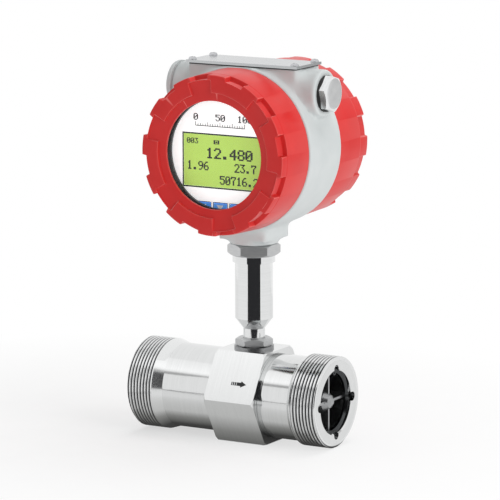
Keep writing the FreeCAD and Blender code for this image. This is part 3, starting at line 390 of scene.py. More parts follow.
@dataclass(frozen=True)
class Plain:
    """A moulded, printed or drawn surface of one material with its own fine grain.

    Attributes:
        name: Name of the material.
        colour: Colour on the grain's crests.
        shade: Colour in its valleys.
        roughness: Middle roughness, and span how far it strays.
        metallic: Share of bare metal.
        coat: Weight of a clear skin.
        painted_glow: Painted light that it gives off, which brightens it beyond its lighting.
        ior: Refraction of what isn't metal.
        grain: The grain.
    """

    name: str
    colour: str
    shade: str
    roughness: float = 0.5
    span: float = 0.06
    metallic: float = 0.0
    coat: float = 0.0
    painted_glow: float = 0.0
    ior: float = 1.46
    grain: Grain = Grain(0.5)

    def build(self) -> bpy.types.Material:
        """Build the material: grain in the relief and in the colour, and any painted glow.

        Returns:
            The new material.
        """
        material, tree, shader = new_material(self.name)
        shader.inputs["Metallic"].default_value = self.metallic
        shader.inputs["Coat Weight"].default_value = self.coat
        if not self.metallic:
            shader.inputs["IOR"].default_value = self.ior
        height = self.grain.bump(tree, shader)
        colour = add(tree, "ValToRGB", {"Fac": height},
                     stops=[(0.25, self.shade), (0.75, self.colour)]).outputs["Color"]
        tree.links.new(colour, shader.inputs["Base Color"])
        gloss = add(tree, "MapRange", {"Value": height},
                    {"To Min": max(0.03, self.roughness - self.span),
                     "To Max": self.roughness + self.span})
        tree.links.new(gloss.outputs["Result"], shader.inputs["Roughness"])
        # painted light: the colour glows and brightens the surface
        if self.painted_glow:
            tree.links.new(colour, shader.inputs["Emission Color"])
            shader.inputs["Emission Strength"].default_value = self.painted_glow
        return material


@dataclass(frozen=True)
class Glass:
    """Toughened float glass of the window: clear, with a thin reflection."""

    name: str
    colour: str = "#F6FAF9"
    roughness: float = 0.01
    cover: float = 0.02
    ior: float = 1.5
    smears: Grain = Grain(9.0, detail=1.0)

    def build(self) -> bpy.types.Material:
        """Build the material: mostly see-through, with a gloss of fine smears.

        Returns:
            The new material.
        """
        material, tree, shader = new_material(self.name)
        shader.inputs["Base Color"].default_value = linear(self.colour)
        shader.inputs["Alpha"].default_value = self.cover
        shader.inputs["IOR"].default_value = self.ior
        gloss = add(tree, "MapRange", {"Value": self.smears.field(tree)},
                    {"To Min": self.roughness, "To Max": self.roughness + 0.02})
        tree.links.new(gloss.outputs["Result"], shader.inputs["Roughness"])
        return material


Finish = Steel | PowderCoat | Plain | Glass
# How many times longer a tool line is than it is wide, by the axis that it runs round
ALONG_X = (1, 60, 60)
ALONG_Z = (60, 60, 1)
FINISHES: dict[str, Finish] = {
    # AISI 304 bar, turned along the pipe: fine feed lines round the axis
    "pipe": Steel("turned_stainless", "#E3E4E4", "#DCDDDD", 0.09, 0.03,
                  Grain(0.5, ALONG_X, 0.0002)),
    # the thread's flanks are rougher than the pipe
    "thread": ThreadSteel("cut_thread_stainless", "#E6E7E7", "#D2D3D4", 0.14, 0.04,
                          Grain(0.3, ALONG_X, 0.0002)),
    # mirror-polished tube, lines round the upright axis
    "stem": Steel("polished_stainless", "#E6E7E7", "#E1E2E2", 0.04, 0.02,
                  Grain(0.6, ALONG_Z, 0.0001)),
    # nuts are milled hexagon bar, duller than the stem
    "nut": Steel("milled_stainless", "#CDCECE", "#C2C3C4", 0.44, 0.05,
                 Grain(0.8, (8, 8, 1), 0.0004)),
    # the plug's flats are milled too, and its face is turned bright
    "plug": Steel("milled_plug_steel", "#EDEEEE", "#E2E3E4", 0.2, 0.05,
                  Grain(0.8, (1, 8, 8), 0.0004)),
    # the vanes are milled from bar; their darker grey is painted shade inside the bore
    "vane": Steel("shaded_vane_steel", "#ACADAE", "#A0A1A2", 0.3, 0.05,
                  Grain(0.8, (8, 8, 1), 0.0004)),
    # rolled sheet of the top plate, brushed along its length
    "plate": Steel("brushed_sheet", "#C1C3C4", "#B9BBBD", 0.2, 0.06,
                   Grain(0.3, (60, 1, 1), 0.0004)),
    # small turned and rolled parts, such as screws, posts and the shaft
    "screw": Steel("rolled_screw", "#C8C9CB", "#BABBBE", 0.18, 0.06,
                   Grain(0.8, (1, 1, 1), 0.0004)),
    # blackened spring wire of the snap rings
    "spring": Steel("oiled_spring_steel", "#47494B", "#3C3D3F", 0.25, 0.08,
                    Grain(0.6, (1, 1, 1), 0.0006)),
    # baked polyester powder, light grey on the casting and red on both covers, the red with a
    # painted highlight on its sharp edges
    "grey_coat": PowderCoat("grey_powder_coat", "#CDD1D1", "#C7CCCC", 0.42),
    "red_coat": PowderCoat("red_powder_coat", "#D62826", "#D02422", 0.34,
                           edge_highlight="#F07874"),
    # nitrile and EPDM seals: matt black with a fine moulded grain
    "rubber": Plain("black_nitrile", "#232323", "#161616", 0.62, grain=Grain(0.4)),
    # stamped steel washer under the lower nut, its dark grey painted shade under the nut
    "washer": Steel("shaded_washer_steel", "#A4A5A6", "#969798", 0.34, 0.05,
                    Grain(0.8, (8, 8, 1), 0.0004)),
    # light grey silicone washer of the round cap
    "grey_rubber": Plain("grey_silicone", "#C2C4C4", "#B6B8B8", 0.55, grain=Grain(0.4)),
    # PBT terminal blocks and switch bodies
    "black_plastic": Plain("black_pbt", "#2B2C2E", "#1F2022", 0.48, grain=Grain(0.35)),
    # silk-screened polyester face sheet, with a painted glow that brightens it to white
    "face": Plain("white_face_film", "#FFFFFF", "#FAFAFA", 0.45, painted_glow=0.5,
                  grain=Grain(0.8, height_mm=0.004)),
    # reflective yellow-green liquid crystal behind a polariser, with a faint painted glow
    "screen": Plain("green_liquid_crystal", "#C8EE68", "#C3E862", 0.25, painted_glow=0.17,
                    grain=Grain(0.45, height_mm=0.001)),
    # screen-printed ink, the dark dots of the crystal and the keys' white print, which has a
    # faint painted glow
    "ink": Plain("printing_ink", "#1B1E1F", "#121414", 0.5, grain=Grain(0.3, height_mm=0.002)),
    "pixel": Plain("dark_crystal", "#0A0E05", "#060903", 0.5,
                   grain=Grain(0.3, height_mm=0.001)),
    "white_ink": Plain("white_ink", "#FFFFFF", "#F2F4F8", 0.5, painted_glow=0.1,
                       grain=Grain(0.3, height_mm=0.002)),
    # translucent blue silicone key with a satin skin and a painted glow that lifts it out of its
    # shade
    "key": Plain("blue_silicone", "#3F94E4", "#2F7CD2", 0.3, coat=0.3, painted_glow=0.42,
                 grain=Grain(0.3, height_mm=0.003)),
    # glass-fibre board under green solder mask
    "board": Plain("green_solder_mask", "#1C6B3C", "#14552E", 0.4, coat=0.3,
                   grain=Grain(0.8, height_mm=0.01)),
    # enamelled copper wire, wound in 0.2 mm turns
    "copper": Plain("enamelled_copper", "#C0703A", "#8E4A22", 0.32, metallic=1.0,
                    grain=Grain(0.2, ALONG_Z, 0.03)),
    # the pickup's iron core and magnet, the bearings' carbide and the turned ring, the ring's
    # dark grey painted shade inside the bezel
    "iron": Plain("soft_iron", "#6E6E70", "#565658", 0.45, metallic=1.0, grain=Grain(0.5)),
    "magnet": Plain("sintered_magnet", "#4A4A4E", "#38383B", 0.5, metallic=0.8,
                    grain=Grain(0.3)),
    "bush": Plain("sintered_carbide", "#5C5D61", "#47484B", 0.4, metallic=0.9,
                  grain=Grain(0.25)),
    "alloy": Plain("shaded_turned_aluminium", "#5A5C5E", "#4A4C4E", 0.45, metallic=0.9,
                   grain=Grain(0.3, (60, 1, 60), 0.004)),
    "glass": Glass("toughened_glass"),
}

# Names of the nodes that wear each finish
FINISH_NODES: dict[str, str] = {
    "pipe": "meter_body",
    "vane": "inlet_straightener outlet_straightener turbine_rotor",
    "spring": "inlet_snap_ring outlet_snap_ring",
    "bush": "inlet_bearing outlet_bearing",
    "screw": "rotor_shaft swivel_clip top_plate_screws display_spacers display_posts "
             "display_screws terminal_posts terminal_board_screws terminal_screws",
    "washer": "lower_washer",
    "nut": "lower_lock_nut upper_lock_nut",
    "stem": "stem",
    "copper": "pickup_coil",
    "iron": "pickup_core",
    "magnet": "pickup_magnet",
    "board": "preamp_board display_board terminal_board",
    "rubber": "signal_lead glass_gasket front_seal rear_seal top_plate_gasket right_plug_washer",
    "grey_coat": "housing left_plug",
    "red_coat": "front_cover rear_cover",
    "glass": "window_glass",
    "alloy": "glass_retainer",
    "plate": "top_plate",
    "plug": "right_plug",
    "grey_rubber": "left_plug_washer",
    "face": "display_face",
    "screen": "lcd_module",
    "key": "key_left key_middle key_right",
    "black_plastic": "key_switches terminal_block",
}


class Paint:
    """The built finishes, each made once."""

    def __init__(self) -> None:
        """Start with no finish built."""
        self.built: dict[str, bpy.types.Material] = {}

    def __getitem__(self, name: str) -> bpy.types.Material:
        """Return a finish by its short name."""
        if name not in self.built:
            self.built[name] = FINISHES[name].build()
        return self.built[name]

    def dress_nodes(self) -> None:
        """Give every carried-over solid its finish."""
        for finish, nodes in FINISH_NODES.items():
            for node in nodes.split():
                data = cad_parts[node].data
                data.materials.clear()
                data.materials.append(self[finish])


PAINT = Paint()


def piece_from(name: str, points: Array, faces: Array | list, finish: str, body: str,
               smooth: float = 40.0) -> bpy.types.Object:
    """Make a finished piece of points and faces that rides on a body.

    Args:
        name: Name of the piece.
        points: Points in metres, one row each.
        faces: Corner numbers, one row of three or four per face.
        finish: Short name of its finish.
        body: Body that it rides on.
        smooth: Faces that meet at less than this angle in degrees look smooth.

    Returns:
        The new object.
    """
    mesh = bpy.data.meshes.new(name)
    mesh.from_pydata(points.tolist(), [], faces if isinstance(faces, list) else faces.tolist())
    mesh.update()
    mesh.validate()
    mesh.materials.append(PAINT[finish])
    piece = placed(name, mesh)
    mesh.shade_smooth()
    mesh.set_sharp_from_angle(angle=math.radians(smooth))
    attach(piece, body)
    LOG.info("%s: %d points, %d faces on %s", name, len(points), len(mesh.polygons), body)
    return piece


def grid_faces(rows: int, columns: int, close_rows: bool, close_columns: bool) -> Array:
    """Number the four corners of each cell of a grid.

    Args:
        rows: Points along the first parameter.
        columns: Points along the second parameter.
        close_rows: Whether the last row joins the first.
        close_columns: Whether the last column joins the first.

    Returns:
        One row of four corner numbers per cell.
    """
    r = np.arange(rows if close_rows else rows - 1)
    c = np.arange(columns if close_columns else columns - 1)
    r, c = (m.ravel() for m in np.meshgrid(r, c, indexing="ij"))
    r2, c2 = (r + 1) % rows, (c + 1) % columns
    return np.stack([r * columns + c, r * columns + c2, r2 * columns + c2,
                     r2 * columns + c], 1)


def round_corners(profile: Array, radius: float, steps: int = 4) -> Array:
    """Round every corner of closed profiles.

    Each corner becomes a quadratic curve from a point before it to a point after it,
    both no further off than the radius or 0.45 of the side.

    Args:
        profile: Corners as (..., corners, 2), in metres.
        radius: How far before and after a corner its curve starts and ends.
        steps: Points on each curve.

    Returns:
        Profiles as (..., corners * steps, 2).
    """
    before = np.roll(profile, 1, axis=-2) - profile
    after = np.roll(profile, -1, axis=-2) - profile
    share = np.linspace(0, 1, steps)[:, None]

    def reach(side: Array) -> Array:
        """Cut a side to the length that the curve takes of it."""
        length = np.maximum(np.linalg.norm(side, axis=-1, keepdims=True), 1e-9)
        return side * np.minimum(radius / length, 0.45)

    start = (profile + reach(before))[..., None, :]
    end = (profile + reach(after))[..., None, :]
    middle = profile[..., None, :]
    curve = start * (1 - share) ** 2 + 2 * middle * share * (1 - share) + end * share ** 2
    return curve.reshape(*profile.shape[:-2], -1, 2)


def outward(points: Array, faces: Array) -> Array:
    """Turn all faces round where the closed surface would be inside out.

    The sum of each face's corner dotted with its area vector is the enclosed volume
    times a constant, so its sign tells which way the faces point.

    Args:
        points: Points of the surface.
        faces: Its faces with four corners each.

    Returns:
        The faces, pointing outwards.
    """
    a, b, c, d = (points[faces[:, i]] for i in range(4))
    volume = (a * np.cross(c - a, d - b)).sum()
    return faces if volume > 0 else faces[:, ::-1]


def circle(count: int) -> Array:
    """List even angles once round, as one column."""
    return np.linspace(0, TAU, count, endpoint=False)[:, None]


def turned_piece(name: str, radius: Array, along: Array, angle: Array, axis: Axis,
                 centre: Vector, finish: str, body: str,
                 smooth: float = 40.0) -> bpy.types.Object:
    """Make a piece of closed profiles that stand round an axis, one for each angle.

    A point at radius r and angle a lies r cos(a) above the axis and r sin(a) beside it.

    Args:
        name: Name of the piece.
        radius: Distances from the axis, one row for each angle.
        along: Distances along the axis, one row for each angle.
        angle: Angles in radians, as one column.
        axis: The axis.
        centre: A point on the axis.
        finish: Short name of its finish.
        body: Body that it rides on.
        smooth: Faces that meet at less than this angle in degrees look smooth.

    Returns:
        The new object.
    """
    above, beside = radius * np.cos(angle), radius * np.sin(angle)
    x, y = (along, beside) if axis is Axis.X else (beside, along)
    grid = np.stack([x + centre[0], y + centre[1], above + centre[2]], -1)
    points = grid.reshape(-1, 3)
    faces = outward(points, grid_faces(grid.shape[0], grid.shape[1], True, True))
    return piece_from(name, points, faces, finish, body, smooth)


def flat_piece(name: str, outlines: Iterable[Patch], place: Callable[[Array], Array],
               finish: str, body: str,
               thickness: float = 0.03 * MM) -> bpy.types.Object:
    """Make thin printed shapes, each a patch of four corners with a small thickness.

    Args:
        name: Name of the piece.
        outlines: Four corners of each patch in the print's own plane.
        place: Carries (n, 3) points of right, up and outward to the row frame.
        finish: Short name of its finish.
        body: Body that it rides on.
        thickness: Height of the ink.

    Returns:
        The new object.
    """
    quads = np.array(list(outlines), float)
    count = len(quads)
    low = np.concatenate([quads, np.zeros((count, 4, 1))], -1)
    high = np.concatenate([quads, np.full((count, 4, 1), thickness)], -1)
    points = place(np.concatenate([low, high], 1).reshape(-1, 3))
    sides = np.array([[4, 5, 6, 7], [0, 1, 5, 4], [1, 2, 6, 5], [2, 3, 7, 6],
                      [3, 0, 4, 7], [3, 2, 1, 0]])
    faces = (np.arange(count) * 8)[:, None, None] + sides[None]
    faces = outward(points, faces.reshape(-1, 4))
    return piece_from(name, points, faces, finish, body, smooth=5.0)


def box_patch(left: float, low: float, right: float, high: float) -> Patch:
    """List the corners of an upright rectangle."""
    return [(left, low), (right, low), (right, high), (left, high)]


def welded(node: str) -> tuple[Array, Array]:
    """Read a solid's mesh with its doubled points merged.

    Args:
        node: Name of the node.

    Returns:
        Points in metres and triangles.
    """
    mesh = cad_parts[node].data
    points = np.zeros(len(mesh.vertices) * 3)
    mesh.vertices.foreach_get("co", points)
    mesh.calc_loop_triangles()
    faces = np.zeros(len(mesh.loop_triangles) * 3, int)
    mesh.loop_triangles.foreach_get("vertices", faces)
    points, faces = points.reshape(-1, 3), faces.reshape(-1, 3)
    _, first, same = np.unique(np.round(points, 7), axis=0, return_index=True,
                               return_inverse=True)
    faces = same.ravel()[faces]
    a, b, c = faces.T
    return points[first], faces[(a != b) & (b != c) & (a != c)]


@dataclass
class PipeBody:
    """The meter's threaded pipe with real thread turns cut into both ends."""

    length: float = 140 * MM
    crest: float = 29.8 * MM
    depth: float = 1.48 * MM
    pitch: float = 2.309 * MM
    thread: float = 18.5 * MM
    inner: float = 27.2 * MM
    pipe: float = 27.53 * MM
    inlet_taper: float = 7.0 * MM
    outlet_taper: float = 2.8 * MM
    chamfer: float = 0.3 * MM
    groove_share: float = 0.68
    run_out: float = 0.6
    slack: float = 0.01 * MM
    blank_skin: float = 0.5 * MM
    face_gap: float = 0.02 * MM
    first_turn: float = 0.05 * MM
    samples: int = 20
    round_count: int = 144

    def core(self) -> bpy.types.Object:
        """Copy the body's solid with the thread blanks turned down to the core.

        Points further out than the pipe near either end move in to the inner radius.

        Returns:
            The piece that stands for the node meter_body.
        """
        co, tri = welded("meter_body")
        radius = np.hypot(co[:, 1], co[:, 2])
        end = np.minimum(co[:, 0], self.length - co[:, 0])
        blank = (end < self.thread + self.slack) & (radius > self.crest - self.blank_skin)
        co[blank, 1:] *= (self.inner / radius[blank])[:, None]
        piece = piece_from("pipe_body", co, tri, "pipe", "meter", 30.0)
        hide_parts("meter_body")
        return piece

    def thread_end(self, name: str, way: int) -> bpy.types.Object:
        """Cut one pipe thread.

        At distance x and angle a, the radius is the root plus the depth times a wave of
        x over the pitch minus a over a full turn: a V groove between flat crests. The
        wave is chamfered at the pipe's end, fades out to the full blank at its last turn
        and ends in the taper down to the pipe.

        Args:
            name: Name of the piece.
            way: +1 for the inlet, -1 for the outlet.

        Returns:
            The new piece.
        """
        turns = self.thread / self.pitch
        x = np.linspace(0, self.thread, int(turns * self.samples))[None, :]
        angle = circle(self.round_count)
        phase = x / self.pitch - angle / TAU
        wave = np.abs(2 * np.mod(phase, 1) - 1)
        wave = np.clip(wave / self.groove_share, 0, 1)
        stop = np.clip((self.thread - x) / (self.run_out * self.pitch), 0, 1)
        root = self.crest - self.depth
        radius = root + self.depth * wave
        radius = radius * stop + self.crest * (1 - stop)
        radius = np.minimum(radius, self.crest - np.clip(self.chamfer - x, 0, 1))
        column = np.ones_like(angle)
        inner = self.inner * column
        taper_end = self.thread + (self.inlet_taper if way > 0 else self.outlet_taper)
        radius = np.hstack([inner, radius[:, :1], radius, self.crest * column,
                            self.pipe * column, inner])
        along = np.hstack([self.face_gap * column, self.face_gap * column,
                           (x + self.first_turn) * column,
                           (self.thread + self.first_turn) * column,
                           taper_end * column, taper_end * column])
        along = along if way > 0 else self.length - along
        return turned_piece(name, radius, along, way * angle, Axis.X, Vector(), "thread",
                            "meter", 50.0)

    def build(self) -> None:
        """Build the pipe and both threads."""
        self.core()
        self.thread_end("inlet_thread_turns", 1)
        self.thread_end("outlet_thread_turns", -1)


@dataclass
class FlowArrow:
    """Etched flow arrow on the block's upper front flat."""

    flat_height: float = 30.1 * MM
    across: float = 78.3 * MM
    up: float = -4.4 * MM
    width: float = 11.0 * MM
    thick: float = 2.3 * MM
    head_foot: float = 7.0 * MM
    head_share: float = 1.9
    bars_mm: tuple[tuple[float, float], ...] = ((0.0, 0.7), (1.15, 0.9), (2.5, 1.1), (4.0, 3.3))
    tilt: float = math.radians(30)

    def place(self, points: Array) -> Array:
        """Carry prints on the tilted flat to the row frame.

        Args:
            points: Points of right, up and outward on the flat.

        Returns:
            The same points in the row frame.
        """
        s, c = math.sin(self.tilt), math.cos(self.tilt)
        right, up, out = np.array([[1, 0, 0], [0, s, c], [0, -c, s]])
        base = out * self.flat_height + right * self.across + up * self.up
        return base + points[:, :1] * right + points[:, 1:2] * up + points[:, 2:] * out

    def build(self) -> None:
        """Build four bars, each by its start and width, and the arrow's head."""
        half = self.thick / 2
        bars = [box_patch(start * MM, -half, start * MM + wide * MM, half)
                for start, wide in self.bars_mm]
        head = [(self.head_foot, -self.head_share * half), (self.width, 0.0),
                (self.width, 0.01 * MM), (self.head_foot, self.head_share * half)]
        flat_piece("flow_arrow", [*bars, head], self.place, "ink", "meter")


@dataclass
class Cover:
    """A screw-on cover: a turned shell with raised pads and wrench notches."""

    name: str
    node: str
    body: str
    reach: float
    notch_length: float
    inside: Sequence[tuple[float, float]]
    way: int
    turn: float = math.radians(19.3)
    window: float = 34.6 * MM
    set_back: float = 2.2 * MM
    dish: float = 48.2 * MM
    step: float = 0.8 * MM
    nose: float = 51.4 * MM
    skirt: float = 52.5 * MM
    mouth: float = 20.7 * MM
    pad_inside: float = 40.0 * MM
    pad_half: float = math.radians(20)
    pads: int = 6
    notch_half: float = math.radians(7.5)
    notch_floor: float = 48.4 * MM
    notches: int = 12
    ease: float = 0.05 * MM
    pad_sink: tuple[float, float] = (0.02 * MM, 0.01 * MM)
    notch_end: tuple[float, float] = (0.15 * MM, 0.3 * MM)
    edge: float = 0.45 * MM

    def angles(self) -> Array:
        """List the angles of the grid, close together at the edges of notches and pads.

        Returns:
            Rising angles in radians, each once.
        """
        fine = self.edge / self.skirt * np.array([-1.6, -1, -0.6, -0.3, 0, 0.3, 0.6, 1, 1.6])
        sectors = (self.notches, self.notch_half), (self.pads, self.pad_half)
        edges = [k * TAU / count + side * half for count, half in sectors
                 for k in range(count) for side in (-1, 1)]
        found = np.concatenate([*(e + fine for e in edges), np.linspace(0, TAU, 241)])
        return np.unique(np.round(np.mod(found, TAU), 5))

    def share(self, angle: Array, count: int, half: float) -> Array:
        """Tell how far each angle is inside a repeated sector, from 0 to 1.

        Args:
            angle: Angles in radians.
            count: How often the sector is repeated.
            half: Half of the sector's angle.

        Returns:
            A smooth step across each of the sector's edges.
        """
        period = TAU / count
        off = np.abs(np.mod(angle + period / 2, period) - period / 2)
        soft = self.edge / self.skirt
        t = np.clip((half + soft - off) / (2 * soft), 0, 1)
        return t * t * (3 - 2 * t)

    def build(self) -> bpy.types.Object:
        """Build the shell from one profile per angle.

        The profile runs from the window over the dish to the rim, down the skirt and
        back inside. In a pad's sector the dish rises to the rim, and in a notch's
        sector the rim's outside falls to the notch floor.

        Returns:
            The piece that stands for the cover's node.
        """
        angle = self.angles()
        notch = self.share(angle, self.notches, self.notch_half)
        pad = self.share(angle, self.pads, self.pad_half)
        one = np.ones_like(angle)
        slope = (self.set_back - self.step) / (self.dish - self.window)
        pad_foot = self.set_back - slope * (self.pad_inside - self.window)
        raised_inner = pad_foot * (1 - pad) + self.pad_sink[0] * pad
        raised_outer = self.step * (1 - pad) + self.pad_sink[1] * pad
        taper = (self.skirt - self.nose) / (self.reach - self.mouth)
        at_end = self.nose + taper * self.notch_length
        rim = self.nose * (1 - notch) + self.notch_floor * notch
        corners = [
            (self.window * one, self.set_back * one),
            (self.pad_inside * one, pad_foot * one),
            ((self.pad_inside + self.ease) * one, raised_inner),
            ((self.dish - self.ease) * one, raised_outer),
            (self.dish * one, 0 * one),
            (rim, 0 * one),
            ((at_end - self.notch_end[0]) * (1 - notch) + self.notch_floor * notch,
             (self.notch_length - self.notch_end[1]) * one),
            (at_end * one, self.notch_length * one),
            (self.skirt * one, (self.reach - self.mouth) * one),
            *((r * one, d * one) for r, d in self.inside),
        ]
        profile = np.stack([np.stack(c, -1) for c in corners], 1)
        rounded = round_corners(profile, self.edge)
        along = self.way * (self.reach - rounded[..., 1])
        piece = turned_piece(self.name, rounded[..., 0], along, self.turn + angle[:, None],
                             Axis.Y, HEAD, "red_coat", self.body, 60.0)
        piece.visible_glossy = False
        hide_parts(self.node)
        return piece


@dataclass
class CastHousing:
    """The housing as a casting: its solid with soft blends in the outer corners."""

    voxel: float = 0.95 * MM
    rounds: int = 110
    renewal: int = 5
    barrel: float = 50 * MM
    half_width: float = 19.6 * MM
    block: tuple[float, float] = (10 * MM, 51.2 * MM)
    entry: float = 11 * MM
    neck: tuple[float, float] = (-62.6 * MM, -44 * MM)
    neck_radius: float = 15.2 * MM

    def even_mesh(self) -> tuple[Array, Array]:
        """Remesh the solid into even small squares.

        Returns:
            Points in metres and faces with four corners.
        """
        points, faces = welded("housing")
        mesh = bpy.data.meshes.new("casting_blank")
        mesh.from_pydata(points.tolist(), [], faces.tolist())
        blank = placed("casting_blank", mesh)
        even = blank.modifiers.new("even", "REMESH")
        even.mode = "VOXEL"
        even.voxel_size = self.voxel
        graph = bpy.context.evaluated_depsgraph_get()
        done = bpy.data.meshes.new_from_object(blank.evaluated_get(graph))
        points = np.zeros(len(done.vertices) * 3)
        done.vertices.foreach_get("co", points)
        faces = np.zeros(len(done.loops), int)
        done.loops.foreach_get("vertex_index", faces)
        bpy.data.objects.remove(blank)
        return points.reshape(-1, 3), faces.reshape(-1, 4)

    def outer_share(self, points: Array) -> Array:
        """Tell which points lie on the outside, away from bores, threads and seats.

        They lie outside the barrel and between its rings, at the block's heights but not
        in an entry, or at the neck's heights but not in its bore.

        Args:
            points: Points in metres.

        Returns:
            One for such a point and zero for any other.
        """
        x, y, z = (points - np.array(HEAD)).T
        upper = (z > self.block[0]) & (z < self.block[1])
        upper &= np.hypot(y, z - ENTRY_RISE) > self.entry
        lower = (z > self.neck[0]) & (z < self.neck[1]) & (np.hypot(x, y) > self.neck_radius)
        outside = (np.hypot(x, z) > self.barrel) & (np.abs(y) < self.half_width)
        return ((upper | lower) & outside).astype(float)

    def build(self) -> bpy.types.Object:
        """Fill the outer concave corners like the blends of a casting.

        Each round moves a point half-way to the mean of its neighbours, along its
        normal and only outwards, so hollow corners fill and sharp edges stay.

        Returns:
            The piece that stands for the node housing.
        """
        points, faces = self.even_mesh()
        share = self.outer_share(points)[:, None]
        pairs = np.concatenate([faces[:, [i, (i + 1) % 4]] for i in range(4)])
        ends = np.concatenate([pairs, pairs[:, ::-1]])
        count = len(points)
        many = np.bincount(ends[:, 0], minlength=count)[:, None]

        def gathered(index: Array, rows: Array) -> Array:
            """Add up the rows that belong to each point."""
            return np.stack([np.bincount(index, rows[:, k], count) for k in range(3)], 1)

        for turn in range(self.rounds):
            if turn % self.renewal == 0:
                a, b, c, d = (points[faces[:, k]] for k in range(4))
                area = np.cross(c - a, d - b)
                normal = gathered(faces.T.ravel(), np.tile(area, (4, 1)))
                normal /= np.maximum(np.linalg.norm(normal, axis=1, keepdims=True), 1e-12)
            pull = gathered(ends[:, 0], points[ends[:, 1]]) / many - points
            out = np.maximum((pull * normal).sum(1, keepdims=True), 0)
            points = points + 0.5 * share * out * normal
        piece = piece_from("housing_casting", points, faces, "grey_coat", "head",
                           45.0)
        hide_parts("housing")
        return piece


@dataclass
class PanScrews:
    """The top plate's four pan-head screws with their cross recesses."""

    seat: float = 217.4 * MM
    x: float = 37.6 * MM
    y: float = 13.0 * MM
    radius: float = 2.7 * MM
    slot: float = 0.32 * MM
    slot_soft: float = 0.35
    arm: float = 0.62
    arm_end: float = 0.1 * MM
    depth: float = 0.55
    sink: float = 0.02 * MM
    round_count: int = 72
    turns: tuple[float, ...] = (0.3, 1.0, 0.1, 0.7)

    def head(self, x: float, y: float, turn: float, height: float) -> Array:
        """Work out one head on a grid of radius and angle.

        The height over radius r is the full height times (1 - (r / R) to the fourth)
        to the power 0.4, less a recess where the point lies on either arm of a cross.

        Args:
            x: Place along the plate.
            y: Place across the plate.
            turn: Turn of the cross in radians.
            height: Height of the head.

        Returns:
            Points as (radii, angles, 3).
        """
        share = np.concatenate([np.linspace(0.02, 0.6, 22), np.linspace(0.64, 1, 12)])
        r = share[:, None] * self.radius
        a = circle(self.round_count).T
        u, w = np.abs(r * np.cos(a - turn)), np.abs(r * np.sin(a - turn))
        near = np.minimum(u, w)
        arm = np.clip((self.slot - near) / (self.slot_soft * self.slot) + 0.5, 0, 1)
        arm = arm * np.clip((self.arm * self.radius - r) / self.arm_end, 0, 1)
        up = height * (1 - share[:, None] ** 4) ** 0.4 - self.depth * height * arm
        top = np.stack([x + r * np.cos(a), y + r * np.sin(a), self.seat + up], -1)
        foot = top[-1:].copy()
        foot[..., 2] = self.seat - self.sink
        return np.concatenate([top, foot])

    def build(self) -> None:
        """Build all four heads as one piece that stands for the node."""
        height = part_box("top_plate_screws")[1].z - self.seat
        heads, faces = [], []
        places = [(i, j) for i in (-1, 1) for j in (-1, 1)]
        for (i, j), turn in zip(places, self.turns):
            grid = self.head(STEM_X + i * self.x, j * self.y, turn, height)
            rows, columns = grid.shape[:2]
            offset = sum(len(h) for h in heads)
            flat = grid.reshape(-1, 3)
            middle = flat[:columns].mean(0, keepdims=True)
            ring = np.arange(columns)
            cap = np.stack([np.full(columns, rows * columns), ring, (ring + 1) % columns], 1)
            faces += (grid_faces(rows, columns, False, True)[:, ::-1] + offset).tolist()
            faces += (cap + offset).tolist()
            heads.append(np.concatenate([flat, middle]))
        piece = piece_from("pan_screws", np.concatenate(heads), faces, "screw", "head",
                           45.0)
        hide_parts("top_plate_screws")


@dataclass
class HexagonPlug:
    """The steel plug of the outlet-side cable entry, with its flat seal ring."""

    seat: float = 52.6 * MM
    washer: float = 1.7 * MM
    washer_bore: float = 9.4 * MM
    washer_radius: float = 11.7 * MM
    washer_edge: float = 0.3 * MM
    washer_count: int = 160
    flats: float = 21.4 * MM
    face_share: float = 0.95
    cone: float = math.radians(30)
    head: float = 5.2 * MM
    shank: float = 9.0 * MM
    shank_end: float = 42.3 * MM
    turn: float = math.radians(15)
    dome: float = 0.5 * MM
    dome_shares: tuple[float, ...] = (0.3, 0.6, 0.8, 0.92, 0.98, 1.0)
    corner_in: float = 0.12 * MM
    corner_over: float = 0.06 * MM
    corner_under: float = 0.1 * MM
    foot_in: float = 0.2 * MM
    foot_over: float = 0.25 * MM
    count: int = 192

    def build(self) -> None:
        """Build the head on a grid of angle and profile.

        The flat's distance over the cosine of the angle off it gives the hexagon. A
        cone of 30 degrees cuts its corners off, and the face rises as a shallow dome.
        """
        centre = Vector((STEM_X, 0, HEAD_HEIGHT + ENTRY_RISE))
        angle = circle(self.count)
        apart = TAU / 6
        off = np.mod(angle + self.turn, apart) - apart / 2
        side = self.flats / 2 / np.cos(off)
        rim = self.face_share * self.flats / 2
        foot, top = self.seat + self.washer, self.seat + self.washer + self.head
        edge = top - self.dome
        drop = (side - rim) * math.tan(self.cone)
        rings = [(POLE, top)]
        rings += [(rim * k, edge + self.dome * math.sqrt(1 - k * k))
                  for k in self.dome_shares]
        rings += [(side - self.corner_in, edge - drop + self.corner_over),
                  (side, edge - drop - self.corner_under), (side, foot + self.foot_over),
                  (side - self.foot_in, foot), (self.shank, foot),
                  (self.shank, self.shank_end), (POLE, self.shank_end)]
        radius, along = (np.hstack([np.ones_like(angle) * ring[k] for ring in rings])
                         for k in (0, 1))
        plug = turned_piece("hexagon_plug", radius, along, angle, Axis.X, centre, "plug",
                            "head", 25.0)
        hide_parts("right_plug")
        corners = box_patch(self.washer_bore, self.seat, self.washer_radius, foot)
        seal = round_corners(np.array(corners), self.washer_edge)
        angle = circle(self.washer_count)
        radius, along = (np.ones_like(angle) * seal[:, k] for k in (0, 1))
        ring = turned_piece("plug_seal", radius, along, angle, Axis.X, centre, "rubber",
                            "head")
        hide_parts("right_plug_washer")


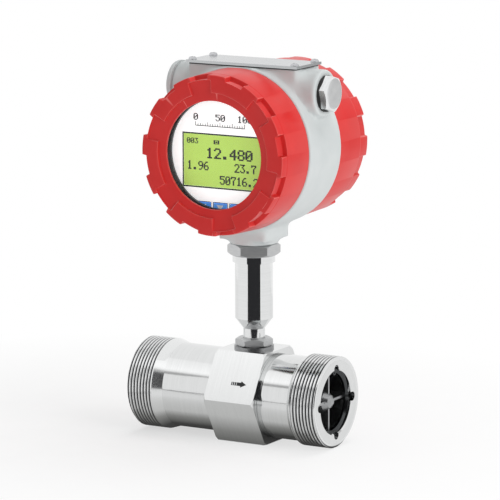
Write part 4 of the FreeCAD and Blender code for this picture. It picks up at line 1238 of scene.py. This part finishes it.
# Dots of each figure on the screen, seven rows of five, top row first. The equals sign
# stands for the small battery sign beside the top number.
FIGURES = {
    "0": "01110 10001 10011 10101 11001 10001 01110",
    "1": "00100 01100 00100 00100 00100 00100 01110",
    "2": "01110 10001 00001 00010 00100 01000 11111",
    "3": "11111 00010 00100 00010 00001 10001 01110",
    "4": "00010 00110 01010 10010 11111 00010 00010",
    "5": "11111 10000 11110 00001 00001 10001 01110",
    "6": "00110 01000 10000 11110 10001 10001 01110",
    "7": "11111 10001 00010 00100 00100 00100 00100",
    "8": "01110 10001 10001 01110 10001 10001 01110",
    "9": "01110 10001 10001 01111 00001 00010 01100",
    ".": "00000 00000 00000 00000 00000 01100 01100",
    "=": "11111 10001 10101 10101 10101 10001 11111",
}
# Each reading's text, its right end and foot from the screen's lower left corner, and
# the width and height of its dots, all in millimetres
READINGS = (
    ("003", 10.84, 27.2, 0.48, 0.5),
    ("=", 26.5, 27.6, 0.75, 0.36),
    ("12.480", 51.0, 18.2, 0.96, 0.98),
    ("1.96", 18.72, 10.4, 0.68, 0.8),
    ("23.7", 53.5, 10.4, 0.68, 0.8),
    ("50716.2", 55.0, 2.0, 0.68, 0.8),
)
# Corners of the white triangle on each key, in millimetres from its middle
KEY_SIGNS = {
    "key_left": [(-2.3, 0.0), (1.7, -2.0), (1.75, 2.0), (-2.3, 0.05)],
    "key_middle": [(-2.4, 1.7), (0.0, -1.9), (0.05, -1.9), (2.4, 1.7)],
    "key_right": [(-1.7, -2.0), (2.3, 0.0), (2.3, 0.05), (-1.7, 2.0)],
}


@dataclass
class DisplayFace:
    """The printed face: screen frame, figures, scale marks, key frames and symbols."""

    centre: Vector = field(
        default_factory=lambda: Vector((STEM_X, -42.4 * MM, HEAD_HEIGHT)))
    screen_width: float = 57.4 * MM
    screen_shift: float = 1.9 * MM
    screen_height: float = 33.2 * MM
    screen_drop: float = 5.1 * MM
    border: float = 1.0 * MM
    key_width: float = 9.4 * MM
    key_height: float = 6.4 * MM
    key_spacing: float = 12.0 * MM
    key_drop: float = 35.1 * MM
    key_proud: float = 0.5 * MM
    key_gap: float = 0.2 * MM
    key_line: float = 0.5 * MM
    sign_up: float = 0.4 * MM
    stroke: float = 0.6
    scale_up: float = 17.4 * MM
    scale_reach: float = 18 * MM
    scale_line: float = 0.22 * MM
    scale_dot: float = 0.62 * MM
    scale_bar: float = 0.5 * MM
    scale_numbers: float = 3.2 * MM
    ticks: int = 21
    short_tick: float = 1.3 * MM
    long_tick: float = 2.4 * MM
    thin: float = 0.02 * MM
    thick: float = 0.06 * MM

    def place(self, points: Array, lift: float = 0.0) -> Array:
        """Carry prints on the face to the row frame.

        Args:
            points: Points of right, up and outward on the face.
            lift: How far they stand off the face.

        Returns:
            The same points in the row frame.
        """
        x, up, out = points.T
        return np.stack([self.centre.x + x, self.centre.y - out - lift,
                         self.centre.z + up], 1)

    def frame_patches(self, x: float, up: float, width: float, height: float,
                      line: float) -> list[Patch]:
        """List four bars round a rectangle, outside its edge.

        Args:
            x: Middle of the rectangle from the face's middle.
            up: Its middle above the face's middle.
            width: Its width.
            height: Its height.
            line: Width of the bars.

        Returns:
            The low, high, left and right bar.
        """
        left, right = x - width / 2, x + width / 2
        low, high = up - height / 2, up + height / 2
        return [
            box_patch(left - line, low - line, right + line, low),
            box_patch(left - line, high, right + line, high + line),
            box_patch(left - line, low, left, high),
            box_patch(right, low, right + line, high),
        ]

    def figures(self, text: str, right: float, low: float, wide: float,
                tall: float) -> list[Patch]:
        """List the bars of a number that ends at a place, one per run of dots.

        Args:
            text: The number.
            right: Right end of the last figure.
            low: Foot of the figures.
            wide: Width of one dot.
            tall: Height of one dot.

        Returns:
            One patch per run of dots in a row.
        """
        left = right - len(text) * 6 * wide
        dots = []
        for index, sign in enumerate(text):
            for row, line in enumerate(FIGURES[sign].split()):
                for run in re.finditer("1+", line):
                    x = left + (index * 6 + run.start()) * wide
                    up = low + (6 - row) * tall
                    length = (len(run.group()) + self.stroke) * wide
                    dots.append(box_patch(x, up, x + length, up + tall))
        return dots

    def ink(self, name: str, patches: list[Patch], thickness: float = 0.03 * MM,
            finish: str = "ink") -> None:
        """Print dark patches on the face.

        Args:
            name: Name of the piece.
            patches: The patches.
            thickness: Height of the print.
            finish: Short name of its finish.
        """
        flat_piece(name, patches, self.place, finish, "head", thickness)

    def build(self) -> None:
        """Build all prints of the face."""
        frame_bars = self.frame_patches(self.screen_shift, -self.screen_drop,
                                        self.screen_width, self.screen_height, self.border)
        self.ink("screen_frame", frame_bars, self.thick)
        left = self.screen_shift - self.screen_width / 2
        low = -self.screen_drop - self.screen_height / 2
        dots = []
        for text, right, up, wide, tall in READINGS:
            dots += self.figures(text, left + right * MM, low + up * MM, wide * MM, tall * MM)
        self.ink("screen_figures", dots, self.thin, "pixel")
        self.scale()
        for index, key in enumerate(KEY_SIGNS):
            self.key(key, (index - 1) * self.key_spacing)

    def scale(self) -> None:
        """Print a plain scale of ticks and numbers in the header's place."""
        base, reach, half = self.scale_up, self.scale_reach, self.scale_line
        ticks = [box_patch(x - half, base, x + half,
                           base + (self.short_tick if index % 5 else self.long_tick))
                 for index, x in enumerate(np.linspace(-reach, reach, self.ticks))]
        line = box_patch(-reach - half, base - self.scale_bar, reach + half, base)
        numbers, dot = [], self.scale_dot
        for index, text in enumerate(("0", "50", "100")):
            right = (index - 1) * reach + (len(text) * 3 + 0.5) * dot
            numbers += self.figures(text, right, base + self.scale_numbers, dot, dot)
        self.ink("face_scale", [*ticks, line, *numbers], self.thin)

    def key(self, body: str, x: float) -> None:
        """Print a key's dark frame on the face and its white symbol on the key.

        Args:
            body: The key's body.
            x: Its middle from the face's middle.
        """
        bars = self.frame_patches(x, -self.key_drop, self.key_width + 2 * self.key_gap,
                                  self.key_height + 2 * self.key_gap, self.key_line)
        self.ink(f"{body}_frame", bars)
        up = self.sign_up - self.key_drop
        patch = [(x + a * MM, up + b * MM) for a, b in KEY_SIGNS[body]]
        flat_piece(f"{body}_symbol", [patch], lambda p: self.place(p, self.key_proud),
                   "white_ink", body)


def level(left: float, front: float, right: float, back: float, height: float) -> Array:
    """List the corners of a level rectangle."""
    return np.array([(x, y, height) for x, y in box_patch(left, front, right, back)])


@dataclass
class Studio:
    """Pale floor, white backdrop, soft lamps and the photograph's camera.

    Attributes:
        floor: Height of the floor.
        eye: Place of the camera.
        forward: Way that it looks.
        right: Way to its right.
        lens: Its focal length in millimetres.
        sensor: Width of its sensor in millimetres.
        room_light: Strength of the even light on all that isn't seen directly.
        aim: Point that the lamps face.
        shade_middle: X of the middle of the floor card's dark part.
        shade_reach: Distances from there at which it starts and ends to turn light.
        shade_depth: How far in front of and behind the axis its grey changes.
        white_from: Distances at which the floor starts to fade and is white.
        white_share: Share of plain white in the floor under the meter.
    """

    floor: float = -0.0301
    eye: Vector = field(default_factory=lambda: Vector((1.221955, -1.973025, 0.493337)))
    forward: Vector = field(
        default_factory=lambda: Vector((-0.4946977, 0.8517828, -0.1724539)))
    right: Vector = field(default_factory=lambda: Vector((0.86497, 0.50182, -0.00262)))
    lens: float = 257.85
    sensor: float = 36.0
    room_light: float = 0.31
    aim: Vector = field(default_factory=lambda: Vector((0.07, 0, 0.1)))
    shade_middle: float = 0.055
    shade_reach: tuple[float, float] = (0.083, 0.1)
    shade_depth: float = 0.1
    white_from: tuple[float, float] = (0.05, 0.32)
    white_share: float = 0.62

    def camera(self) -> None:
        """Set the camera where the photograph was taken from."""
        data = bpy.data.cameras.new("camera")
        data.lens = self.lens
        data.sensor_width = self.sensor
        data.clip_end = 50.0
        camera = placed("camera", data)
        back = -self.forward.normalized()
        right = (self.right - back * self.right.dot(back)).normalized()
        up = back.cross(right)
        turned = Matrix((right, up, back)).transposed().to_4x4()
        camera.matrix_world = Matrix.Translation(self.eye) @ turned
        bpy.context.scene.camera = camera

    def world(self) -> None:
        """Light the room softly and show plain white behind the object."""
        world = bpy.data.worlds.new("room")
        bpy.context.scene.world = world
        world.use_nodes = True
        tree = world.node_tree
        tree.nodes.clear()
        path = add(tree, "LightPath").outputs
        seen = add(tree, "Math", {0: path["Is Camera Ray"], 1: path["Is Glossy Ray"]},
                   operation="MAXIMUM")
        both = add(tree, "Math", {0: seen.outputs[0], 1: path["Is Transmission Ray"]},
                   operation="MAXIMUM")
        soft, white = (add(tree, "Background", values={"Color": linear(WHITE), "Strength": power})
                       for power in (self.room_light, 1.0))
        mix = add(tree, "MixShader",
                  {"Fac": both.outputs[0], 1: soft.outputs[0], 2: white.outputs[0]})
        add(tree, "OutputWorld", {"Surface": mix.outputs[0]})

    def lamp(self, name: str, place: Sequence[float], size: float, power: float) -> None:
        """Hang one soft lamp that faces the object and doesn't show in reflections.

        Args:
            name: Name of the lamp.
            place: Where it hangs.
            size: Its side in metres.
            power: Its power in watts.
        """
        data = bpy.data.lights.new(name, "AREA")
        data.size = size
        data.energy = power
        lamp = placed(name, data)
        lamp.location = place
        lamp.visible_glossy = False
        way = self.aim - lamp.location
        lamp.rotation_euler = way.to_track_quat("-Z", "Y").to_euler()

    def sheet(self, name: str, corners: Array, material: bpy.types.Material) -> bpy.types.Object:
        """Put a rectangle into the scene that isn't part of the object.

        Args:
            name: Name of the rectangle.
            corners: Its four corners in metres.
            material: Its material.

        Returns:
            The new object.
        """
        mesh = bpy.data.meshes.new(name)
        mesh.from_pydata(corners.tolist(), [], [[0, 1, 2, 3]])
        mesh.materials.append(material)
        thing = placed(name, mesh)
        return thing

    def card(self, name: str, corners: Array, colour: str = WHITE,
             strength: float = 1.0) -> tuple[Tree, bpy.types.Node]:
        """Stand a card that only shows in reflections.

        Args:
            name: Name of the card.
            corners: Its four corners in metres.
            colour: Its colour.
            strength: How bright it is.

        Returns:
            Its node tree and the node of its light.
        """
        material, tree, shader = new_material(f"{name}_cloth")
        tree.nodes.remove(shader)
        light = add(tree, "Emission", values={"Color": linear(colour), "Strength": strength})
        tree.links.new(light.outputs[0], tree.nodes["Material Output"].inputs["Surface"])
        card = self.sheet(name, corners, material)
        for ray in ("camera", "diffuse", "transmission", "volume_scatter", "shadow"):
            setattr(card, f"visible_{ray}", False)
        return tree, light

    def upright_card(self, name: str, azimuth: float, half: float, low: float, high: float,
                     distance: float, colour: str) -> None:
        """Stand a flat card at an azimuth round the stem, facing it.

        Args:
            name: Name of the card.
            azimuth: Direction from the stem in degrees, 0 at -Y and 90 at +X.
            half: Half of its width in degrees.
            low: Lower edge.
            high: Upper edge.
            distance: How far it stands off.
            colour: Its colour.
        """
        reach = distance / math.cos(math.radians(half))
        corners = []
        for side, z in ((-1, low), (1, low), (1, high), (-1, high)):
            a = math.radians(azimuth + side * half)
            corners.append((STEM_X + reach * math.sin(a), -reach * math.cos(a), z))
        self.card(name, np.array(corners), colour)

    def floor_card(self) -> None:
        """Lay a card that polished steel sees as its own shadow side.

        Its grey falls from light in front of the meter to dark under it, and turns
        light again behind and beside it.
        """
        size = 0.5
        tree, light = self.card("floor_card",
                                level(-size, -size, size, size, self.floor + 0.0004))
        place = add(tree, "SeparateXYZ", {0: add(tree, "TexCoord").outputs["Object"]})
        depth = add(tree, "MapRange", {"Value": place.outputs["Y"]},
                    {"From Min": -self.shade_depth, "From Max": self.shade_depth})
        beside = add(tree, "MapRange", {"Value": distance_from(tree, "X", self.shade_middle)},
                     {"From Min": self.shade_reach[0], "From Max": self.shade_reach[1]})
        shade = add(tree, "Math", {0: depth.outputs["Result"], 1: beside.outputs["Result"]},
                    operation="ADD", use_clamp=True)
        grey = add(tree, "ValToRGB", {"Fac": shade.outputs[0]}, stops=[
            (0.0, "#EEEEEE"), (0.33, "#CBCBCA"), (0.38, "#8E8E8C"), (0.44, "#444443"),
            (0.56, "#2A2A2A"), (0.72, "#C8C8C8"), (1.0, "#F4F4F4")])
        tree.links.new(grey.outputs["Color"], light.inputs["Color"])

    def ceiling_card(self) -> None:
        """Hang a card that grows from grey in front to brighter than the room overhead."""
        left, far, right, near, high = -0.6, -0.72, 0.7, -0.1, 0.5
        tree, light = self.card("ceiling_card", level(left, far, right, near, high),
                                strength=1.25)
        place = add(tree, "SeparateXYZ", {0: add(tree, "TexCoord").outputs["Object"]})
        depth = add(tree, "MapRange", {"Value": place.outputs["Y"]},
                    {"From Min": far, "From Max": near})
        grey = add(tree, "ValToRGB", {"Fac": depth.outputs["Result"]}, stops=[
            (0.0, "#9C9C9C"), (0.2, "#A8A8A8"), (0.3, "#ECECEC"), (0.45, WHITE),
            (1.0, "#F0F0F0")])
        tree.links.new(grey.outputs["Color"], light.inputs["Color"])

    def ground(self) -> None:
        """Lay a pale floor that keeps the object's shadow and fades to white far off."""
        material, tree, shader = new_material("pale_floor")
        tree.nodes.remove(shader)
        colour = add(tree, "ValToRGB", {"Fac": Grain(30.0, detail=2.0).field(tree)},
                     stops=[(0.3, "#F4F4F4"), (0.7, "#F8F8F8")])
        matt = add(tree, "BsdfDiffuse", {"Color": colour.outputs["Color"]})
        white = add(tree, "Emission", values={"Color": linear(WHITE), "Strength": 1.0})
        off = add(tree, "VectorMath", {0: add(tree, "TexCoord").outputs["Object"]},
                  operation="LENGTH")
        far = add(tree, "MapRange", {"Value": off.outputs["Value"]},
                  {"From Min": self.white_from[0], "From Max": self.white_from[1],
                   "To Min": self.white_share, "To Max": 1.0})
        mix = add(tree, "MixShader",
                  {"Fac": far.outputs["Result"], 1: matt.outputs[0], 2: white.outputs[0]})
        tree.links.new(mix.outputs[0], tree.nodes["Material Output"].inputs["Surface"])
        size = 6.0
        self.sheet("floor", level(-size, -size, size, size, self.floor), material)

    def build(self) -> None:
        """Set up camera, room, lamps, cards and floor."""
        bpy.context.scene.view_settings.view_transform = "Standard"
        self.camera()
        self.world()
        self.lamp("side_lamp", (1.7, -0.35, 0.75), 1.2, 16)
        self.lamp("top_lamp", (0.2, 0.3, 1.8), 1.2, 15)
        self.lamp("front_lamp", (-0.9, -1.5, 1.1), 1.0, 1.0)
        floor, off = self.floor + 0.0005, 0.3
        self.upright_card("dark_card", 30.15, 38, floor, 0.25, off, "#2E2E30")
        self.upright_card("left_card", -46, 34, floor, 0.19, off, "#FAFAFA")
        self.upright_card("right_card", 106, 34, floor, 0.19, off, "#FAFAFA")
        self.upright_card("skirting_card", -30, 17, floor, self.floor + 0.006, 0.298,
                          "#5A5A5A")
        self.upright_card("plug_card", 150, 20, 0.1, 0.26, 0.32, "#CCCCCC")
        self.floor_card()
        self.ceiling_card()
        self.ground()


def covers() -> list[Cover]:
    """List both covers with their insides as (radius, distance behind the front).

    Returns:
        The display cover and the terminal cover.
    """
    front, rear = 53.2 * MM, 59.0 * MM
    seal_end, bore, recess = 23.1 * MM, 48.6 * MM, 50.5 * MM
    seat, bezel, lip = 38.1 * MM, 10.0 * MM, 3.7 * MM
    room, thread_end, wall = 44.0 * MM, 46.0 * MM, 6.0 * MM
    front_mouth, rear_mouth = ([
        (recess, reach - Cover.mouth), (recess, reach - seal_end), (bore, reach - seal_end)]
        for reach in (front, rear))
    front_inside = [
        *front_mouth, (bore, bezel), (seat, bezel), (seat, lip), (Cover.window, lip),
    ]
    rear_inside = [
        *rear_mouth, (bore, rear - thread_end), (room, rear - thread_end), (room, wall),
        (POLE, wall), (POLE, Cover.set_back),
        *((radius * MM, Cover.set_back) for radius in (4, 10, 18, 27)),
    ]
    return [
        Cover("display_cover", "front_cover", "front_lid", front, 6.6 * MM, front_inside, -1),
        Cover("terminal_cover", "rear_cover", "rear_lid", rear, 10.0 * MM, rear_inside, 1,
              notch_floor=49.6 * MM),
    ]


def main() -> None:
    """Build the whole look."""
    logging.basicConfig(level=logging.INFO, format="%(name)s: %(message)s")
    PAINT.dress_nodes()
    for part in (Studio(), PipeBody(), FlowArrow(), CastHousing(), PanScrews(), HexagonPlug(),
                 *covers(), DisplayFace()):
        part.build()


if __name__ == "__main__":
    main()
